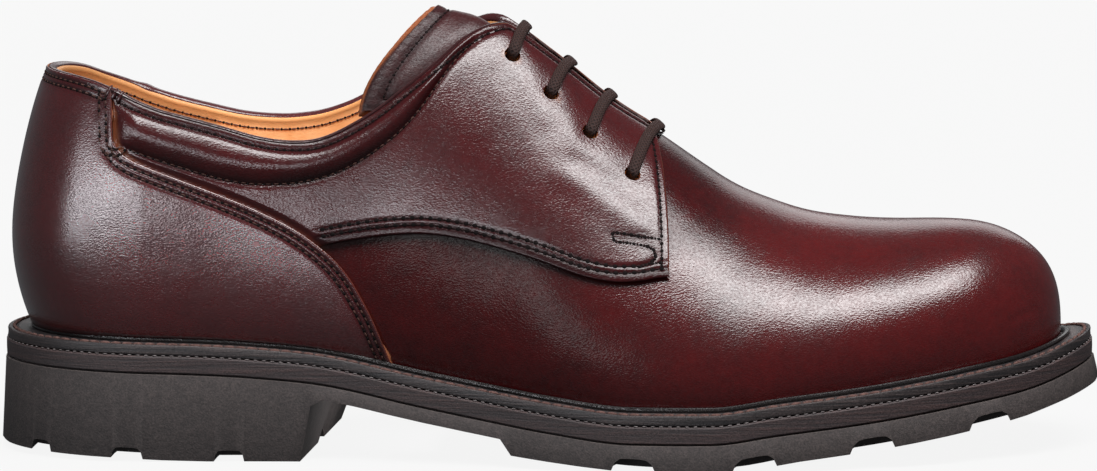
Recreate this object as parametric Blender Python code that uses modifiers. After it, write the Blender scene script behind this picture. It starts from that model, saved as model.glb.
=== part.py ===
"""A welted lace-up derby for the right foot: separate pieces laid round one last surface.

Lengths in the tables are millimetres. +X is the toe, +Y the medial side, +Z is up and the
shoe stands on z = 0. A place on the last is (side, s, t): s runs along the feather line from
the heel back to the toe tip, t climbs the section from the feather line to the ridge.
"""
import math
from functools import lru_cache

import bmesh
import bpy
import numpy as np
from mathutils import Vector

MM = 0.001
LATERAL = -1
MEDIAL = 1
UP = Vector((0, 0, 1))


def table(columns, *rows):
    """Short table: one array under each column name."""
    return dict(zip(columns.split(), np.array(rows, float).T))


# Height of the outsole's upper face along the shoe; every layer above follows it
BED = table(
    "x z",
    (-152, 25.0), (-116, 24.1), (-80, 22.5), (-62, 20.8), (-36, 15.6), (-13, 11.7), (3, 9.4),
    (25, 7.2), (46, 7.2), (64, 9.4), (86, 11.8), (114, 15.6), (134, 18.8), (152, 24.6),
)
# Underside of the tread: heel and ball each have a flat spot, the back of the heel and the toe spring up
TREAD = table(
    "x z",
    (-155, 2.0), (-118, 1.1), (-92, 0), (-66, 0), (-10, 3.5), (3, 2.2), (14, 1.1), (26, 0.2), (32, 0), (50, 0),
    (69, 2.7), (86, 4.7), (114, 8.7), (134, 12.4), (152, 18.0),
)
GAP = 0.3
MIDSOLE_THICK = 4.7
WELT_THICK = 2.8
INSOLE_THICK = 6.2
WAIST_THICK = 3.6

# How far each sole edge stands outside the feather line
WELT_MARGIN = 7.0
MIDSOLE_MARGIN = 7.4
OUTSOLE_TOP_MARGIN = 7.8
OUTSOLE_FOOT_MARGIN = 9.2
WELT_INNER = -2.4
INSOLE_MARGIN = -3.3
# The edges stand out a little further round the heel and the toe
HEEL_SHELF = 2.2
TOE_SHELF = 1.2
# Middle of the finished box in the frame of the tables
BOX_MIDDLE = Vector((-1.6, 0.1, 0))

# Sections of the last, outside of the leather: plan centre and half width at the feather line,
# ridge height above it, sideways swell, reach of the wall and crown handles, ridge lean to medial
LAST = table(
    "x centre half height swell wall crown lean",
    (-110, 2.6, 31.5, 100.0, 10.0, 0.35, 0.80, 0.0),
    (-80, 2.2, 30.0, 100.5, 9.0, 0.33, 0.74, 0.0),
    (-50, 0.4, 29.0, 102.4, 9.0, 0.30, 0.64, 0.0),
    (-30, -1.2, 31.0, 100.5, 8.5, 0.28, 0.61, 0.0),
    (-14, -1.6, 34.5, 97.4, 8.0, 0.27, 0.58, 0.5),
    (0, -1.7, 39.0, 89.1, 7.0, 0.27, 0.56, 1.0),
    (14, -1.3, 43.0, 79.1, 6.0, 0.28, 0.54, 2.0),
    (30, -0.6, 46.3, 69.0, 5.0, 0.32, 0.50, 3.0),
    (42, 0.0, 47.3, 60.5, 4.5, 0.36, 0.49, 3.5),
    (55, 0.6, 46.9, 51.8, 4.0, 0.42, 0.50, 4.0),
    (69, 1.4, 45.5, 44.8, 3.5, 0.46, 0.53, 4.0),
    (83, 2.4, 43.6, 41.0, 3.5, 0.50, 0.56, 3.8),
    (97, 3.4, 41.2, 38.6, 3.5, 0.53, 0.57, 3.0),
    (110, 4.4, 38.8, 37.2, 3.5, 0.54, 0.58, 2.0),
    (125, 5.6, 36.0, 36.1, 3.5, 0.55, 0.58, 1.0),
    (141, 6.6, 33.0, 33.8, 3.0, 0.55, 0.58, 0.0),
)
FEATHER_TIP = 140.8
FEATHER_BACK = -143.0
HEEL_AXIS = -110.0
HEEL_POWER = 2.15
BACK_SWELL = 13.5
BACK_CROWN = 0.74
TOE_PLAN_START = 82.0
TOE_PLAN_POWER = 2.25
TOE_TOP_START = 98.0
TOE_TOP_POWER = 2.75
FEATHER_EDGE = 1.2

# Edges of the upper seen from the side; the collar is lower outside, under the ankle
TOPLINE = table(
    "x lateral medial",
    (-145, 105.6, 105.6), (-138, 104.8, 104.8), (-133, 104.2, 103.3), (-128, 103.5, 100.8), (-121.5, 101.9, 98.0),
    (-115.5, 99.3, 95.4), (-110, 96.7, 93.5), (-104.5, 94.6, 92.0), (-99, 93.1, 90.7), (-88, 90.1, 88.4),
    (-77.5, 87.2, 87.8), (-72, 86.3, 88.2), (-66.5, 86.1, 89.1), (-61, 86.8, 90.8), (-57, 88.2, 92.4),
    (-52.5, 90.4, 94.8), (-44.5, 95.2, 99.8), (-39, 99.4, 103.5), (-34, 103.2, 107.0), (-28.5, 107.7, 111.2),
    (-23.5, 112.1, 115.0), (-19.5, 114.6, 116.9), (-17, 115.8, 117.8), (-14.5, 116.5, 118.2), (0, 119, 120),
)
ROLL_LINE = table(
    "x z",
    (-118, 87.0), (-111, 83.9), (-99, 79.8), (-88, 76.6), (-77, 75.1), (-66, 75.6), (-56.5, 78.0), (-44.5, 84.7),
    (-39, 89.0), (-33.5, 95.0), (-28.5, 102.1), (-25.5, 106.2), (-20, 112),
)
COUNTER_EDGE = table(
    "x z",
    (-117.5, 97.5), (-117.2, 89.0), (-116.5, 86.2), (-115, 83.9), (-112.5, 82.0), (-108.5, 80.1), (-99, 76.4),
    (-88, 72.2), (-77, 67.6), (-66, 61.8), (-61.5, 58.6), (-56.5, 54.3), (-52.5, 49.4), (-49, 43.3), (-46.3, 37.9),
    (-43.7, 31.6), (-40, 22),
)
QUARTER_EDGE = table(
    "x z",
    (-61, 58.3), (-55.5, 59.4), (-44, 61.1), (-33, 61.8), (-22, 60.6), (-11, 58.1), (0, 54.9), (10.5, 51.2),
    (16, 49.9), (21.5, 49.3), (27, 49.5), (31, 50.1), (36, 50.5),
)
COUNTER_BACK_LIMIT = -118.0
QUARTER_FRONT_TOP = 28.0
QUARTER_FRONT_FOOT = 34.4
QUARTER_BACK_SLANT = -3.6
PAD_RISE = 2.4

UPPER_WALL = 2.2
PANEL_GAP = 0.4
PANEL_WALL = 1.2
COUNTER_WALL = 1.5
COUNTER_LAP = 0.9
COUNTER_GAP = 0.6
TONGUE_WALL = 2.2
TONGUE_DEPTH = 3.0

THROAT_END = 30.0
THROAT_GAP_TOP = 4.6
THROAT_GAP_FOOT = 3.2

EYELETS = table("x z", (-9.5, 108.3), (1.1, 98.2), (11.8, 87.6), (23.6, 76.5))
EYELET_RADIUS = 2.5
LACE_RADIUS = 1.4
LACE_CLEAR = 0.35


def smooth(columns, name, x):
    """Smooth curve through one column of a table, level at its crests."""
    xs = columns["x"]
    ys = columns[name]
    step = np.diff(xs)
    slope = np.diff(ys) / step
    inner = (slope[:-1] * step[1:] + slope[1:] * step[:-1]) / (step[:-1] + step[1:])
    inner[slope[:-1] * slope[1:] <= 0] = 0
    tangent = np.concatenate([slope[:1], inner, slope[-1:]])
    x = min(max(x, xs[0]), xs[-1])
    i = min(max(int(np.searchsorted(xs, x)) - 1, 0), len(step) - 1)
    u = (x - xs[i]) / step[i]
    start = (1 + 2 * u) * (1 - u) ** 2 * ys[i] + u * (1 - u) ** 2 * step[i] * tangent[i]
    end = u * u * (3 - 2 * u) * ys[i + 1] + u * u * (u - 1) * step[i] * tangent[i + 1]
    return float(start + end)


def bed_height(x):
    return smooth(BED, "z", x)


def feather_height(x):
    return bed_height(x) + MIDSOLE_THICK + WELT_THICK + 3 * GAP


def fall(x, start, end, power):
    """Superellipse fall from one at start to nothing at end."""
    run = min(max((x - start) / (end - start), 0), 1)
    return (1 - run ** power) ** (1 / power)


@lru_cache(maxsize=None)
def section(side, s):
    """One section of the last: its foot, its top, the way out and the handles of its curve."""
    row = {name: smooth(LAST, name, max(s, HEEL_AXIS)) for name in LAST}
    if s >= HEEL_AXIS:
        plan = fall(s, TOE_PLAN_START, FEATHER_TIP, TOE_PLAN_POWER)
        foot = Vector((s, row["centre"] + side * row["half"] * plan, 0))
        top = Vector((s, row["centre"] + row["lean"] * plan, 0))
        out = Vector((0, side, 0))
        height = row["height"] * fall(s, TOE_TOP_START, FEATHER_TIP, TOE_TOP_POWER)
        swell = row["swell"] * plan
        crown = row["crown"]
    else:
        back = min((HEEL_AXIS - s) / (HEEL_AXIS - FEATHER_BACK), 1)
        spread = fall(back, 0, 1, HEEL_POWER)
        foot = Vector((max(s, FEATHER_BACK), row["centre"] + side * row["half"] * spread, 0))
        top = Vector((HEEL_AXIS, row["centre"], 0))
        out = (foot - top).normalized()
        height = row["height"]
        swell = row["swell"] + (BACK_SWELL - row["swell"]) * back ** 2
        crown = row["crown"] + (BACK_CROWN - row["crown"]) * back ** 2
    width = (foot - top).length
    foot.z = feather_height(foot.x)
    top.z = foot.z + FEATHER_EDGE
    return foot, top, out, width, height, swell, row["wall"] * height, crown * width


@lru_cache(maxsize=None)
def last_point(side, s, t):
    """Point of the last surface: a cubic from the feather line up and over to the ridge."""
    foot, top, out, width, height, swell, wall, crown = section(side, s)
    u = 1 - t
    reach = u ** 3 * width + 3 * u * u * t * (width + swell) + 3 * u * t * t * crown
    rise = 3 * u * u * t * wall + 3 * u * t * t * height + t ** 3 * height
    return top + out * reach + UP * rise


def last_normal(side, s, t):
    """Outward normal of the last surface."""
    ds = 0.4
    dt = 0.004
    along = last_point(side, s + ds, t) - last_point(side, s - ds, t)
    climb = last_point(side, s, min(t + dt, 1)) - last_point(side, s, max(t - dt, 0))
    normal = along.cross(climb) * -side
    if s <= FEATHER_BACK:
        normal.y = 0
    return normal.normalized()


def lifted(side, s, t, lift):
    return last_point(side, s, t) + last_normal(side, s, t) * lift


def solve(low, high, miss):
    """Root of a rising function between low and high by halving."""
    if miss(high) < 0:
        return high
    for _ in range(26):
        mid = (low + high) / 2
        if miss(mid) < 0:
            low = mid
        else:
            high = mid
    return (low + high) / 2


def topline(side, x):
    return smooth(TOPLINE, "lateral" if side == LATERAL else "medial", x)


def climb_to(side, s, edge):
    """How far up the section the side-view edge is reached."""
    return solve(0, 1, lambda t: last_point(side, s, t).z - edge(last_point(side, s, t).x))


def climb_to_throat(side, s):
    """How far up the section the throat slot begins."""
    run = (s - TOPLINE["x"][-2]) / (THROAT_END - TOPLINE["x"][-2])
    half_gap = THROAT_GAP_TOP + (THROAT_GAP_FOOT - THROAT_GAP_TOP) * min(max(run, 0), 1)
    ridge = last_point(side, s, 1).y
    return solve(0, 1, lambda t: half_gap - abs(last_point(side, s, t).y - ridge))


def upper_top(side, s):
    """Upper edge of the leather: collar, facing edge, or the closed ridge of the vamp."""
    if s >= THROAT_END:
        return 1.0
    collar = climb_to(side, s, lambda x: topline(side, x))
    if s < HEEL_AXIS:
        return collar
    return min(collar, climb_to_throat(side, s))


# Outlines of the sole
@lru_cache(maxsize=None)
def outline(margin, count=240):
    """Feather line carried outward by a margin: (x, y) from the back to the tip, one array a side."""
    middle = (FEATHER_TIP + FEATHER_BACK) / 2
    half = (FEATHER_TIP - FEATHER_BACK) / 2
    places = [middle - half * math.cos(math.pi * k / count) for k in range(count + 1)]
    lateral = [section(LATERAL, s)[0] for s in places]
    medial = [section(MEDIAL, s)[0] for s in reversed(places[1:-1])]
    loop = np.array([[p.x, p.y] for p in lateral + medial])
    along = np.roll(loop, -1, axis=0) - np.roll(loop, 1, axis=0)
    normal = np.stack([along[:, 1], -along[:, 0]], axis=1)
    normal /= np.linalg.norm(normal, axis=1, keepdims=True)
    normal[0] = (-1, 0)
    normal[count] = (1, 0)
    moved = loop + normal * margin
    if margin > 0:
        heel_run = np.clip((HEEL_AXIS - loop[:, 0]) / (HEEL_AXIS - FEATHER_BACK), 0, 1)
        toe_run = np.clip((loop[:, 0] - TOE_TOP_START) / (FEATHER_TIP - TOE_TOP_START), 0, 1)
        moved[:, 0] += TOE_SHELF * toe_run ** 2 - HEEL_SHELF * heel_run ** 2
    return moved[:count + 1], np.concatenate([moved[:1], moved[:count - 1:-1]])


def edge_span(margin):
    lateral, _ = outline(margin)
    return lateral[0, 0], lateral[-1, 0]


def edge_y(side, x, margin):
    """Where the sole edge lies across the shoe."""
    curve = outline(margin)[0 if side == LATERAL else 1]
    return float(np.interp(x, curve[:, 0], curve[:, 1]))


def stretch(x, margin):
    """Place on an edge of this margin for a place on the tread edge."""
    back, tip = edge_span(margin)
    foot_back, foot_tip = edge_span(OUTSOLE_FOOT_MARGIN)
    return x * (tip / foot_tip if x > 0 else back / foot_back)


def rounded_stations(inner, back, tip):
    """Stations along a layer with close ones where its ends turn."""
    turns = (0.0, 0.6, 2.4, 5.5, 10.0, 16.0, 24.0)
    ends = [back + d for d in turns] + [tip - d for d in turns]
    return sorted(ends + list(inner))


# Mesh makers
def placed(point):
    """Point of the tables in metres, with the middle of the box at the origin."""
    return (point - BOX_MIDDLE) * MM


def material(name, colour, roughness):
    made = bpy.data.materials.new(name)
    made.use_nodes = True
    shader = made.node_tree.nodes["Principled BSDF"]
    shader.inputs["Base Color"].default_value = (*colour, 1)
    shader.inputs["Roughness"].default_value = roughness
    return made


def new_object(name, bm, look, collection):
    bmesh.ops.remove_doubles(bm, verts=bm.verts, dist=0.00001)
    bmesh.ops.dissolve_degenerate(bm, edges=bm.edges, dist=0.00001)
    mesh = bpy.data.meshes.new(name)
    bm.to_mesh(mesh)
    bm.free()
    made = bpy.data.objects.new(name, mesh)
    made.data.materials.append(look)
    collection.objects.link(made)
    return made


def grid(columns):
    """Open surface through columns of points that run clockwise seen from above."""
    bm = bmesh.new()
    made = [[bm.verts.new(placed(point)) for point in column] for column in columns]
    for left, right in zip(made, made[1:]):
        for low, high in zip(range(len(left) - 1), range(1, len(left))):
            bm.faces.new((left[low], left[high], right[high], right[low]))
    return bm


def shell(name, columns, wall, outward, look, collection):
    """Panel with a real wall: an open surface thickened by Solidify."""
    made = new_object(name, grid(columns), look, collection)
    wall_step = made.modifiers.new("wall", "SOLIDIFY")
    wall_step.thickness = wall * MM
    wall_step.offset = 1 if outward else -1
    wall_step.use_even_offset = True
    wall_step.use_quality_normals = True
    return made


def loft(name, rings, look, collection, closed=False):
    """Solid skinned over unlike sections; end sections shrink to a line or close on the first."""
    bm = bmesh.new()
    made = [[bm.verts.new(placed(point)) for point in ring] for ring in rings]
    pairs = list(zip(made, made[1:]))
    if closed:
        pairs.append((made[-1], made[0]))
    for ring, after in pairs:
        for i in range(len(ring)):
            j = (i + 1) % len(ring)
            bm.faces.new((ring[i], ring[j], after[j], after[i]))
    return new_object(name, bm, look, collection)


# Outsole: heel block, waist and forefoot in one moulded unit
NOTCHES = table(
    "x wide narrow deep",
    (-139.0, 6.0, 4.4, 3.0), (-114.0, 8.8, 6.6, 3.0), (-86.0, 8.3, 6.4, 3.0),
    (25.5, 12.0, 7.7, 3.6), (58.0, 12.0, 7.7, 3.6), (89.5, 12.0, 7.7, 3.6), (121.0, 11.0, 7.0, 3.4),
)
HEEL_PLAIN = (-152.0, -148.0, -130.0, -122.0, -104.0, -92.0, -78.0)
FORE_PLAIN = (2.0, 11.0, 18.0, 36.0, 44.0, 50.0, 70.0, 79.0, 101.0, 110.0, 131.0, 137.5, 142.5, 146.2)
WAIST_PLAIN = (-60.0, -52.0, -42.0, -32.0, -21.0)
NOTCH_REACH = 7.0
NOTCH_WALL = 1.5
NOTCH_REST = 0.4
BREAST_FOOT = -66.5
BREAST_TOP = -63.5
BREAST_SKEW = table("x shift", (-78.0, 0), (BREAST_FOOT, 3.0), (BREAST_TOP, 6.0), (-42.0, 0))
STEP_TOP = -11.0
STEP_FOOT = -8.0
BACK_BEVEL = 0.5
GROOVE_HALF = 3.5
GROOVE_SLOPE = 2.0
GROOVE_DEEP = 2.5


def tread_stations():
    """(x, height of the underside, rise of a notch, depth of the groove) from heel to toe."""
    foot_back, foot_tip = edge_span(OUTSOLE_FOOT_MARGIN)
    bevel = smooth(TREAD, "z", foot_back) + BACK_BEVEL
    rows = [(foot_back, bevel, 0, 0), (foot_back + 0.5, bevel, 0, 0)]
    rows += [(x, smooth(TREAD, "z", x), 0, GROOVE_DEEP) for x in HEEL_PLAIN]
    rows += [(BREAST_FOOT, 0, 0, GROOVE_DEEP), (BREAST_TOP, bed_height(BREAST_TOP) - 1.6 * WAIST_THICK, 0, 0)]
    rows += [(x, bed_height(x) - WAIST_THICK, 0, 0) for x in WAIST_PLAIN + (STEP_TOP,)]
    fore = (STEP_FOOT,) + FORE_PLAIN + (foot_tip - 0.5,)
    rows += [(x, smooth(TREAD, "z", x), 0, GROOVE_DEEP) for x in fore]
    rows.append((foot_tip, smooth(TREAD, "z", foot_tip), 0, 0))
    for x, wide, narrow, deep in zip(*(NOTCHES[c] for c in ("x", "wide", "narrow", "deep"))):
        for reach, rise in ((-wide, 0), (-narrow, deep), (narrow, deep), (wide, 0)):
            place = x + reach / 2
            rows.append((place, smooth(TREAD, "z", place), rise, GROOVE_DEEP))
    return sorted(rows)


def breast_skew(x):
    """How far the medial edge of a section lies ahead: the heel breast runs obliquely."""
    return float(np.interp(x, BREAST_SKEW["x"], BREAST_SKEW["shift"]))


def outsole_ring(x, height, rise, groove):
    """One section of the outsole, from the lateral tread edge round to the lateral top edge."""
    skew = breast_skew(x)
    lateral = edge_y(LATERAL, x, OUTSOLE_FOOT_MARGIN)
    medial = edge_y(MEDIAL, x + skew, OUTSOLE_FOOT_MARGIN)
    spread = medial - lateral
    notch_end = min(NOTCH_REACH, 0.15 * spread)
    wall_end = min(NOTCH_REACH + NOTCH_WALL, 0.18 * spread)
    middle = spread / 2
    inner = min(GROOVE_HALF, 0.2 * spread)
    outer = min(GROOVE_HALF + GROOVE_SLOPE, 0.3 * spread)
    rest = height + min(rise, NOTCH_REST)
    top_x = stretch(x, OUTSOLE_TOP_MARGIN)
    top_z = bed_height(top_x)
    under = (
        (0, height + rise), (notch_end, height + rise), (wall_end, rest), (middle - outer, rest),
        (middle - inner, rest + groove), (middle + inner, rest + groove), (middle + outer, rest),
        (spread - wall_end, rest), (spread - notch_end, height + rise), (spread, height + rise),
    )
    return tuple(
        Vector((x + (skew * across / spread if spread else 0), lateral + across, z)) for across, z in under
    ) + (
        Vector((top_x, edge_y(MEDIAL, top_x, OUTSOLE_TOP_MARGIN), top_z)),
        Vector((top_x, edge_y(LATERAL, top_x, OUTSOLE_TOP_MARGIN), top_z)),
    )


def build_outsole(look, collection):
    rings = [outsole_ring(*row) for row in tread_stations()]
    return loft("outsole", rings, look, collection)


# Flat layers that follow the bed
LAYER_INNER = (
    -112.0, -96.0, -82.0, -70.0, -60.0, -50.0, -40.0, -30.0, -20.0, -10.0, 0.0, 11.0, 22.0, 34.0, 46.0,
    57.0, 68.0, 79.0, 90.0, 100.0, 109.0,
)


def build_layer(name, margin, start, thick, look, collection):
    """Sheet between two offsets of the bed, with the sole outline of its margin."""
    back, tip = edge_span(margin)
    rings = []
    for x in rounded_stations(LAYER_INNER, back, tip):
        foot = bed_height(x) + start
        lateral = edge_y(LATERAL, x, margin)
        medial = edge_y(MEDIAL, x, margin)
        rings.append((
            Vector((x, lateral, foot)), Vector((x, medial, foot)),
            Vector((x, medial, foot + thick)), Vector((x, lateral, foot + thick)),
        ))
    return loft(name, rings, look, collection)


def build_welt(look, collection):
    """Flat ring round the sole, from under the upper out to its stitched edge."""
    outer = outline(WELT_MARGIN)
    inner = outline(WELT_INNER)
    picks = [0, 12, 22, 30, 38, 46, 54, 62, 70, 78, 86, 94, 102, 110, 118, 126, 134, 142, 150, 158, 166,
             174, 181, 188, 195, 202, 208, 214, 220, 226, 231, 236]
    order = [(0, k) for k in picks] + [(0, 240)] + [(1, k) for k in reversed(picks[1:])]
    foot = MIDSOLE_THICK + 2 * GAP
    rings = []
    for branch, k in order:
        out_x, out_y = outer[branch][k]
        in_x, in_y = inner[branch][k]
        rings.append((
            Vector((out_x, out_y, bed_height(out_x) + foot)),
            Vector((in_x, in_y, bed_height(in_x) + foot)),
            Vector((in_x, in_y, bed_height(in_x) + foot + WELT_THICK)),
            Vector((out_x, out_y, bed_height(out_x) + foot + WELT_THICK)),
        ))
    return loft("welt", rings, look, collection, closed=True)


# Upper and the panels over it
UPPER_FRONT = (
    140.8, 140.0, 137.6, 133.6, 128.5, 121.5, 113.0, 103.0, 92.0, 80.0, 68.0, 56.0, 45.0, 36.5, 30.0,
    24.0, 17.0, 10.0, 3.0, -4.0, -10.0, -14.0, -18.0, -23.0, -30.0, -38.0, -48.0, -60.0, -73.0, -86.0,
    -98.0, -110.0,
)
UPPER_ROWS = 11
FAN_STEPS = 6


def fan_places(start, steps):
    """Places round the heel from a place at its side to the middle of the back."""
    span = HEEL_AXIS - FEATHER_BACK
    first = math.asin(min(max((HEEL_AXIS - start) / span, 0), 1) ** (HEEL_POWER / 2))
    turns = [first + (math.pi / 2 - first) * (k + 1) / steps for k in range(steps)]
    return [HEEL_AXIS - span * math.sin(turn) ** (2 / HEEL_POWER) for turn in turns]


def round_the_heel(places):
    """Lateral places from front to back, then the medial ones back to the front."""
    return [(LATERAL, s) for s in places] + [(MEDIAL, s) for s in reversed(places[:-1])]


def build_upper(look, collection):
    columns = []
    for side, s in round_the_heel(UPPER_FRONT + tuple(fan_places(HEEL_AXIS, FAN_STEPS))):
        top = upper_top(side, s)
        climbs = [top * k / UPPER_ROWS for k in range(UPPER_ROWS + 1)]
        columns.append([section(side, s)[0]] + [last_point(side, s, t) for t in climbs])
    return shell("upper", columns, UPPER_WALL, False, look, collection)


PANEL_FOOT = 1.5


def counter_edge(x):
    if x < COUNTER_BACK_LIMIT:
        return TOPLINE["lateral"][0] + PANEL_FOOT
    return smooth(COUNTER_EDGE, "z", x)


def counter_top(side, s):
    """Upper edge of the counter: the topline at the back, then its own falling edge."""
    return min(upper_top(side, s), climb_to(side, s, counter_edge))


def panel_start(side, s):
    """Just above the welt, so that a panel's foot stays clear of it."""
    foot = section(side, s)[0].z + PANEL_FOOT
    return climb_to(side, s, lambda x: foot)


COUNTER_FRONT = (-43.0, -46.0, -50.0, -55.0, -61.0, -68.0, -76.0, -84.0, -92.0, -100.0, -107.0, -112.0)
COUNTER_FAN = 7
COUNTER_ROWS = 6


def build_counter(look, collection):
    columns = []
    for side, s in round_the_heel(COUNTER_FRONT + tuple(fan_places(COUNTER_FRONT[-1], COUNTER_FAN))):
        low = panel_start(side, s)
        high = counter_top(side, s)
        climbs = [low + (high - low) * k / COUNTER_ROWS for k in range(COUNTER_ROWS + 1)]
        columns.append([lifted(side, s, t, COUNTER_GAP) for t in climbs])
    return shell("heel_counter", columns, COUNTER_WALL, True, look, collection)


QUARTER_PLACES = (
    QUARTER_FRONT_TOP, 24.0, 18.0, 12.0, 6.0, 0.0, -5.0, -9.5, -13.5, -17.5, -22.0, -28.0, -35.0, -42.0, -50.0, -59.0,
    -68.0, -78.0, -88.0, -98.0, -106.0, -112.0,
)
QUARTER_ROWS = 9


def pad_lift(side, place):
    """Padding of the collar: a roll between its stitch line and the topline."""
    low = smooth(ROLL_LINE, "z", place.x)
    high = topline(side, place.x)
    share = min(max((place.z - low) / (high - low), 0), 1)
    front = min(max((-18 - place.x) / 14, 0), 1)
    back = min(max((place.x + 114) / 8, 0), 1)
    return PAD_RISE * front * back * math.sin(math.pi * share ** 0.8)


def quarter_foot(side, s):
    """Lower edge of a quarter: its own edge at the front, the counter's edge behind."""
    own = smooth(QUARTER_EDGE, "z", s)
    behind = smooth(COUNTER_EDGE, "z", s) + COUNTER_LAP
    edge = own if s > QUARTER_EDGE["x"][0] else max(own, behind)
    return climb_to(side, s, lambda x: edge)


def build_quarter(name, side, look, collection):
    columns = []
    for k, place in enumerate(QUARTER_PLACES):
        column = []
        for j in range(QUARTER_ROWS + 1):
            share = j / QUARTER_ROWS
            slant = 0
            if k == 0:
                slant = (QUARTER_FRONT_FOOT - QUARTER_FRONT_TOP) * (1 - share)
            elif k == len(QUARTER_PLACES) - 1:
                slant = QUARTER_BACK_SLANT * share
            s = place + slant
            low = quarter_foot(side, s)
            high = upper_top(side, min(s, THROAT_END - 0.01))
            t = low + (high - low) * share
            column.append(lifted(side, s, t, PANEL_GAP + pad_lift(side, last_point(side, s, t))))
        columns.append(column)
    if side == MEDIAL:
        columns.reverse()
    return shell(name, columns, PANEL_WALL, True, look, collection)


# Tongue under the facings
TONGUE_RIDGE = (38.0, 31.0, 24.0, 17.0, 10.0, 3.0, -4.0, -10.0, -16.0, -22.0, -27.0, -31.0)
TONGUE_HALF = (20.0, 46.0)
TONGUE_BACK = 20.0
TONGUE_DROP = 32.0
TONGUE_ROWS = 7


def arc_place(side, s, arc):
    """How far up the section a point lies that is an arc away from the ridge."""
    steps = 60
    walked = 0
    last = last_point(side, s, 1)
    for k in range(1, steps):
        t = 1 - k / steps
        here = last_point(side, s, t)
        walked += (here - last).length
        if walked >= arc:
            return t
        last = here
    return 0


def tongue_back(run, drop):
    """How far the tongue's rows sweep back when they have dropped below the ridge."""
    return TONGUE_BACK * run * math.sin(math.pi / 2 * min(max(drop / TONGUE_DROP, 0), 1))


def build_tongue(look, collection):
    columns = []
    count = len(TONGUE_RIDGE) - 1
    for k, ridge_x in enumerate(TONGUE_RIDGE):
        run = k / count
        half = TONGUE_HALF[0] + (TONGUE_HALF[1] - TONGUE_HALF[0]) * run
        ridge_z = last_point(LATERAL, ridge_x, 1).z
        column = []
        for j in range(-TONGUE_ROWS, TONGUE_ROWS + 1):
            side = LATERAL if j < 0 else MEDIAL
            s = ridge_x
            t = 1
            for _ in range(4):
                t = arc_place(side, s, half * abs(j) / TONGUE_ROWS)
                s = ridge_x - tongue_back(run, ridge_z - last_point(side, s, t).z)
            column.append(lifted(side, s, t, -TONGUE_DEPTH))
        columns.append(column)
    return shell("tongue", columns, TONGUE_WALL, False, look, collection)


# Eyelet holes and the bars of the lace
def eyelet(side, x, z):
    """Centre of an eyelet on the last and the way out of it."""
    t = climb_to(side, x, lambda _: z)
    return last_point(side, x, t), last_normal(side, x, t), t


def cut_eyelets(target, side, cutters):
    for k, (x, z) in enumerate(zip(EYELETS["x"], EYELETS["z"])):
        centre, normal, _ = eyelet(side, x, z)
        bm = bmesh.new()
        bmesh.ops.create_cone(
            bm, cap_ends=True, segments=10, radius1=EYELET_RADIUS * MM, radius2=EYELET_RADIUS * MM, depth=12 * MM
        )
        mesh = bpy.data.meshes.new("punch")
        bm.to_mesh(mesh)
        bm.free()
        punch = bpy.data.objects.new(f"punch_{target.name}_{side}_{k + 1}", mesh)
        punch.location = placed(centre)
        punch.rotation_mode = "QUATERNION"
        punch.rotation_quaternion = normal.to_track_quat("Z", "Y")
        punch.display_type = "WIRE"
        punch.hide_render = True
        cutters.objects.link(punch)
        cut = target.modifiers.new(punch.name, "BOOLEAN")
        cut.operation = "DIFFERENCE"
        cut.solver = "EXACT"
        cut.object = punch


BAR_STEPS = 6
BAR_LEAN = 0.2


def bar_side(side, x, z):
    """Half of a bar: from inside its eyelet, out and over the facing towards the throat."""
    centre, normal, foot_t = eyelet(side, x, z)
    ride = PANEL_GAP + PANEL_WALL + LACE_RADIUS + LACE_CLEAR
    top_x = x + BAR_LEAN * (last_point(side, x, 1).z - z)
    points = [centre + normal * (PANEL_GAP + 0.2)]
    for k in range(BAR_STEPS + 1):
        share = k / BAR_STEPS
        s = x + (top_x - x) * share
        t = foot_t + (1 - foot_t) * share * 0.94
        points.append(lifted(side, s, t, ride))
    return points


def build_bar(index, look, collection):
    x = EYELETS["x"][index]
    z = EYELETS["z"][index]
    path = bar_side(LATERAL, x, z) + bar_side(MEDIAL, x, z)[::-1]
    name = f"lace_bar_{index + 1}"
    curve = bpy.data.curves.new(name, "CURVE")
    curve.dimensions = "3D"
    curve.bevel_depth = LACE_RADIUS * MM
    curve.bevel_resolution = 2
    curve.use_fill_caps = True
    spline = curve.splines.new("POLY")
    spline.points.add(len(path) - 1)
    for knot, point in zip(spline.points, path):
        knot.co = (*placed(point), 1)
    made = bpy.data.objects.new(name, curve)
    made.data.materials.append(look)
    collection.objects.link(made)
    return made


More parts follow.
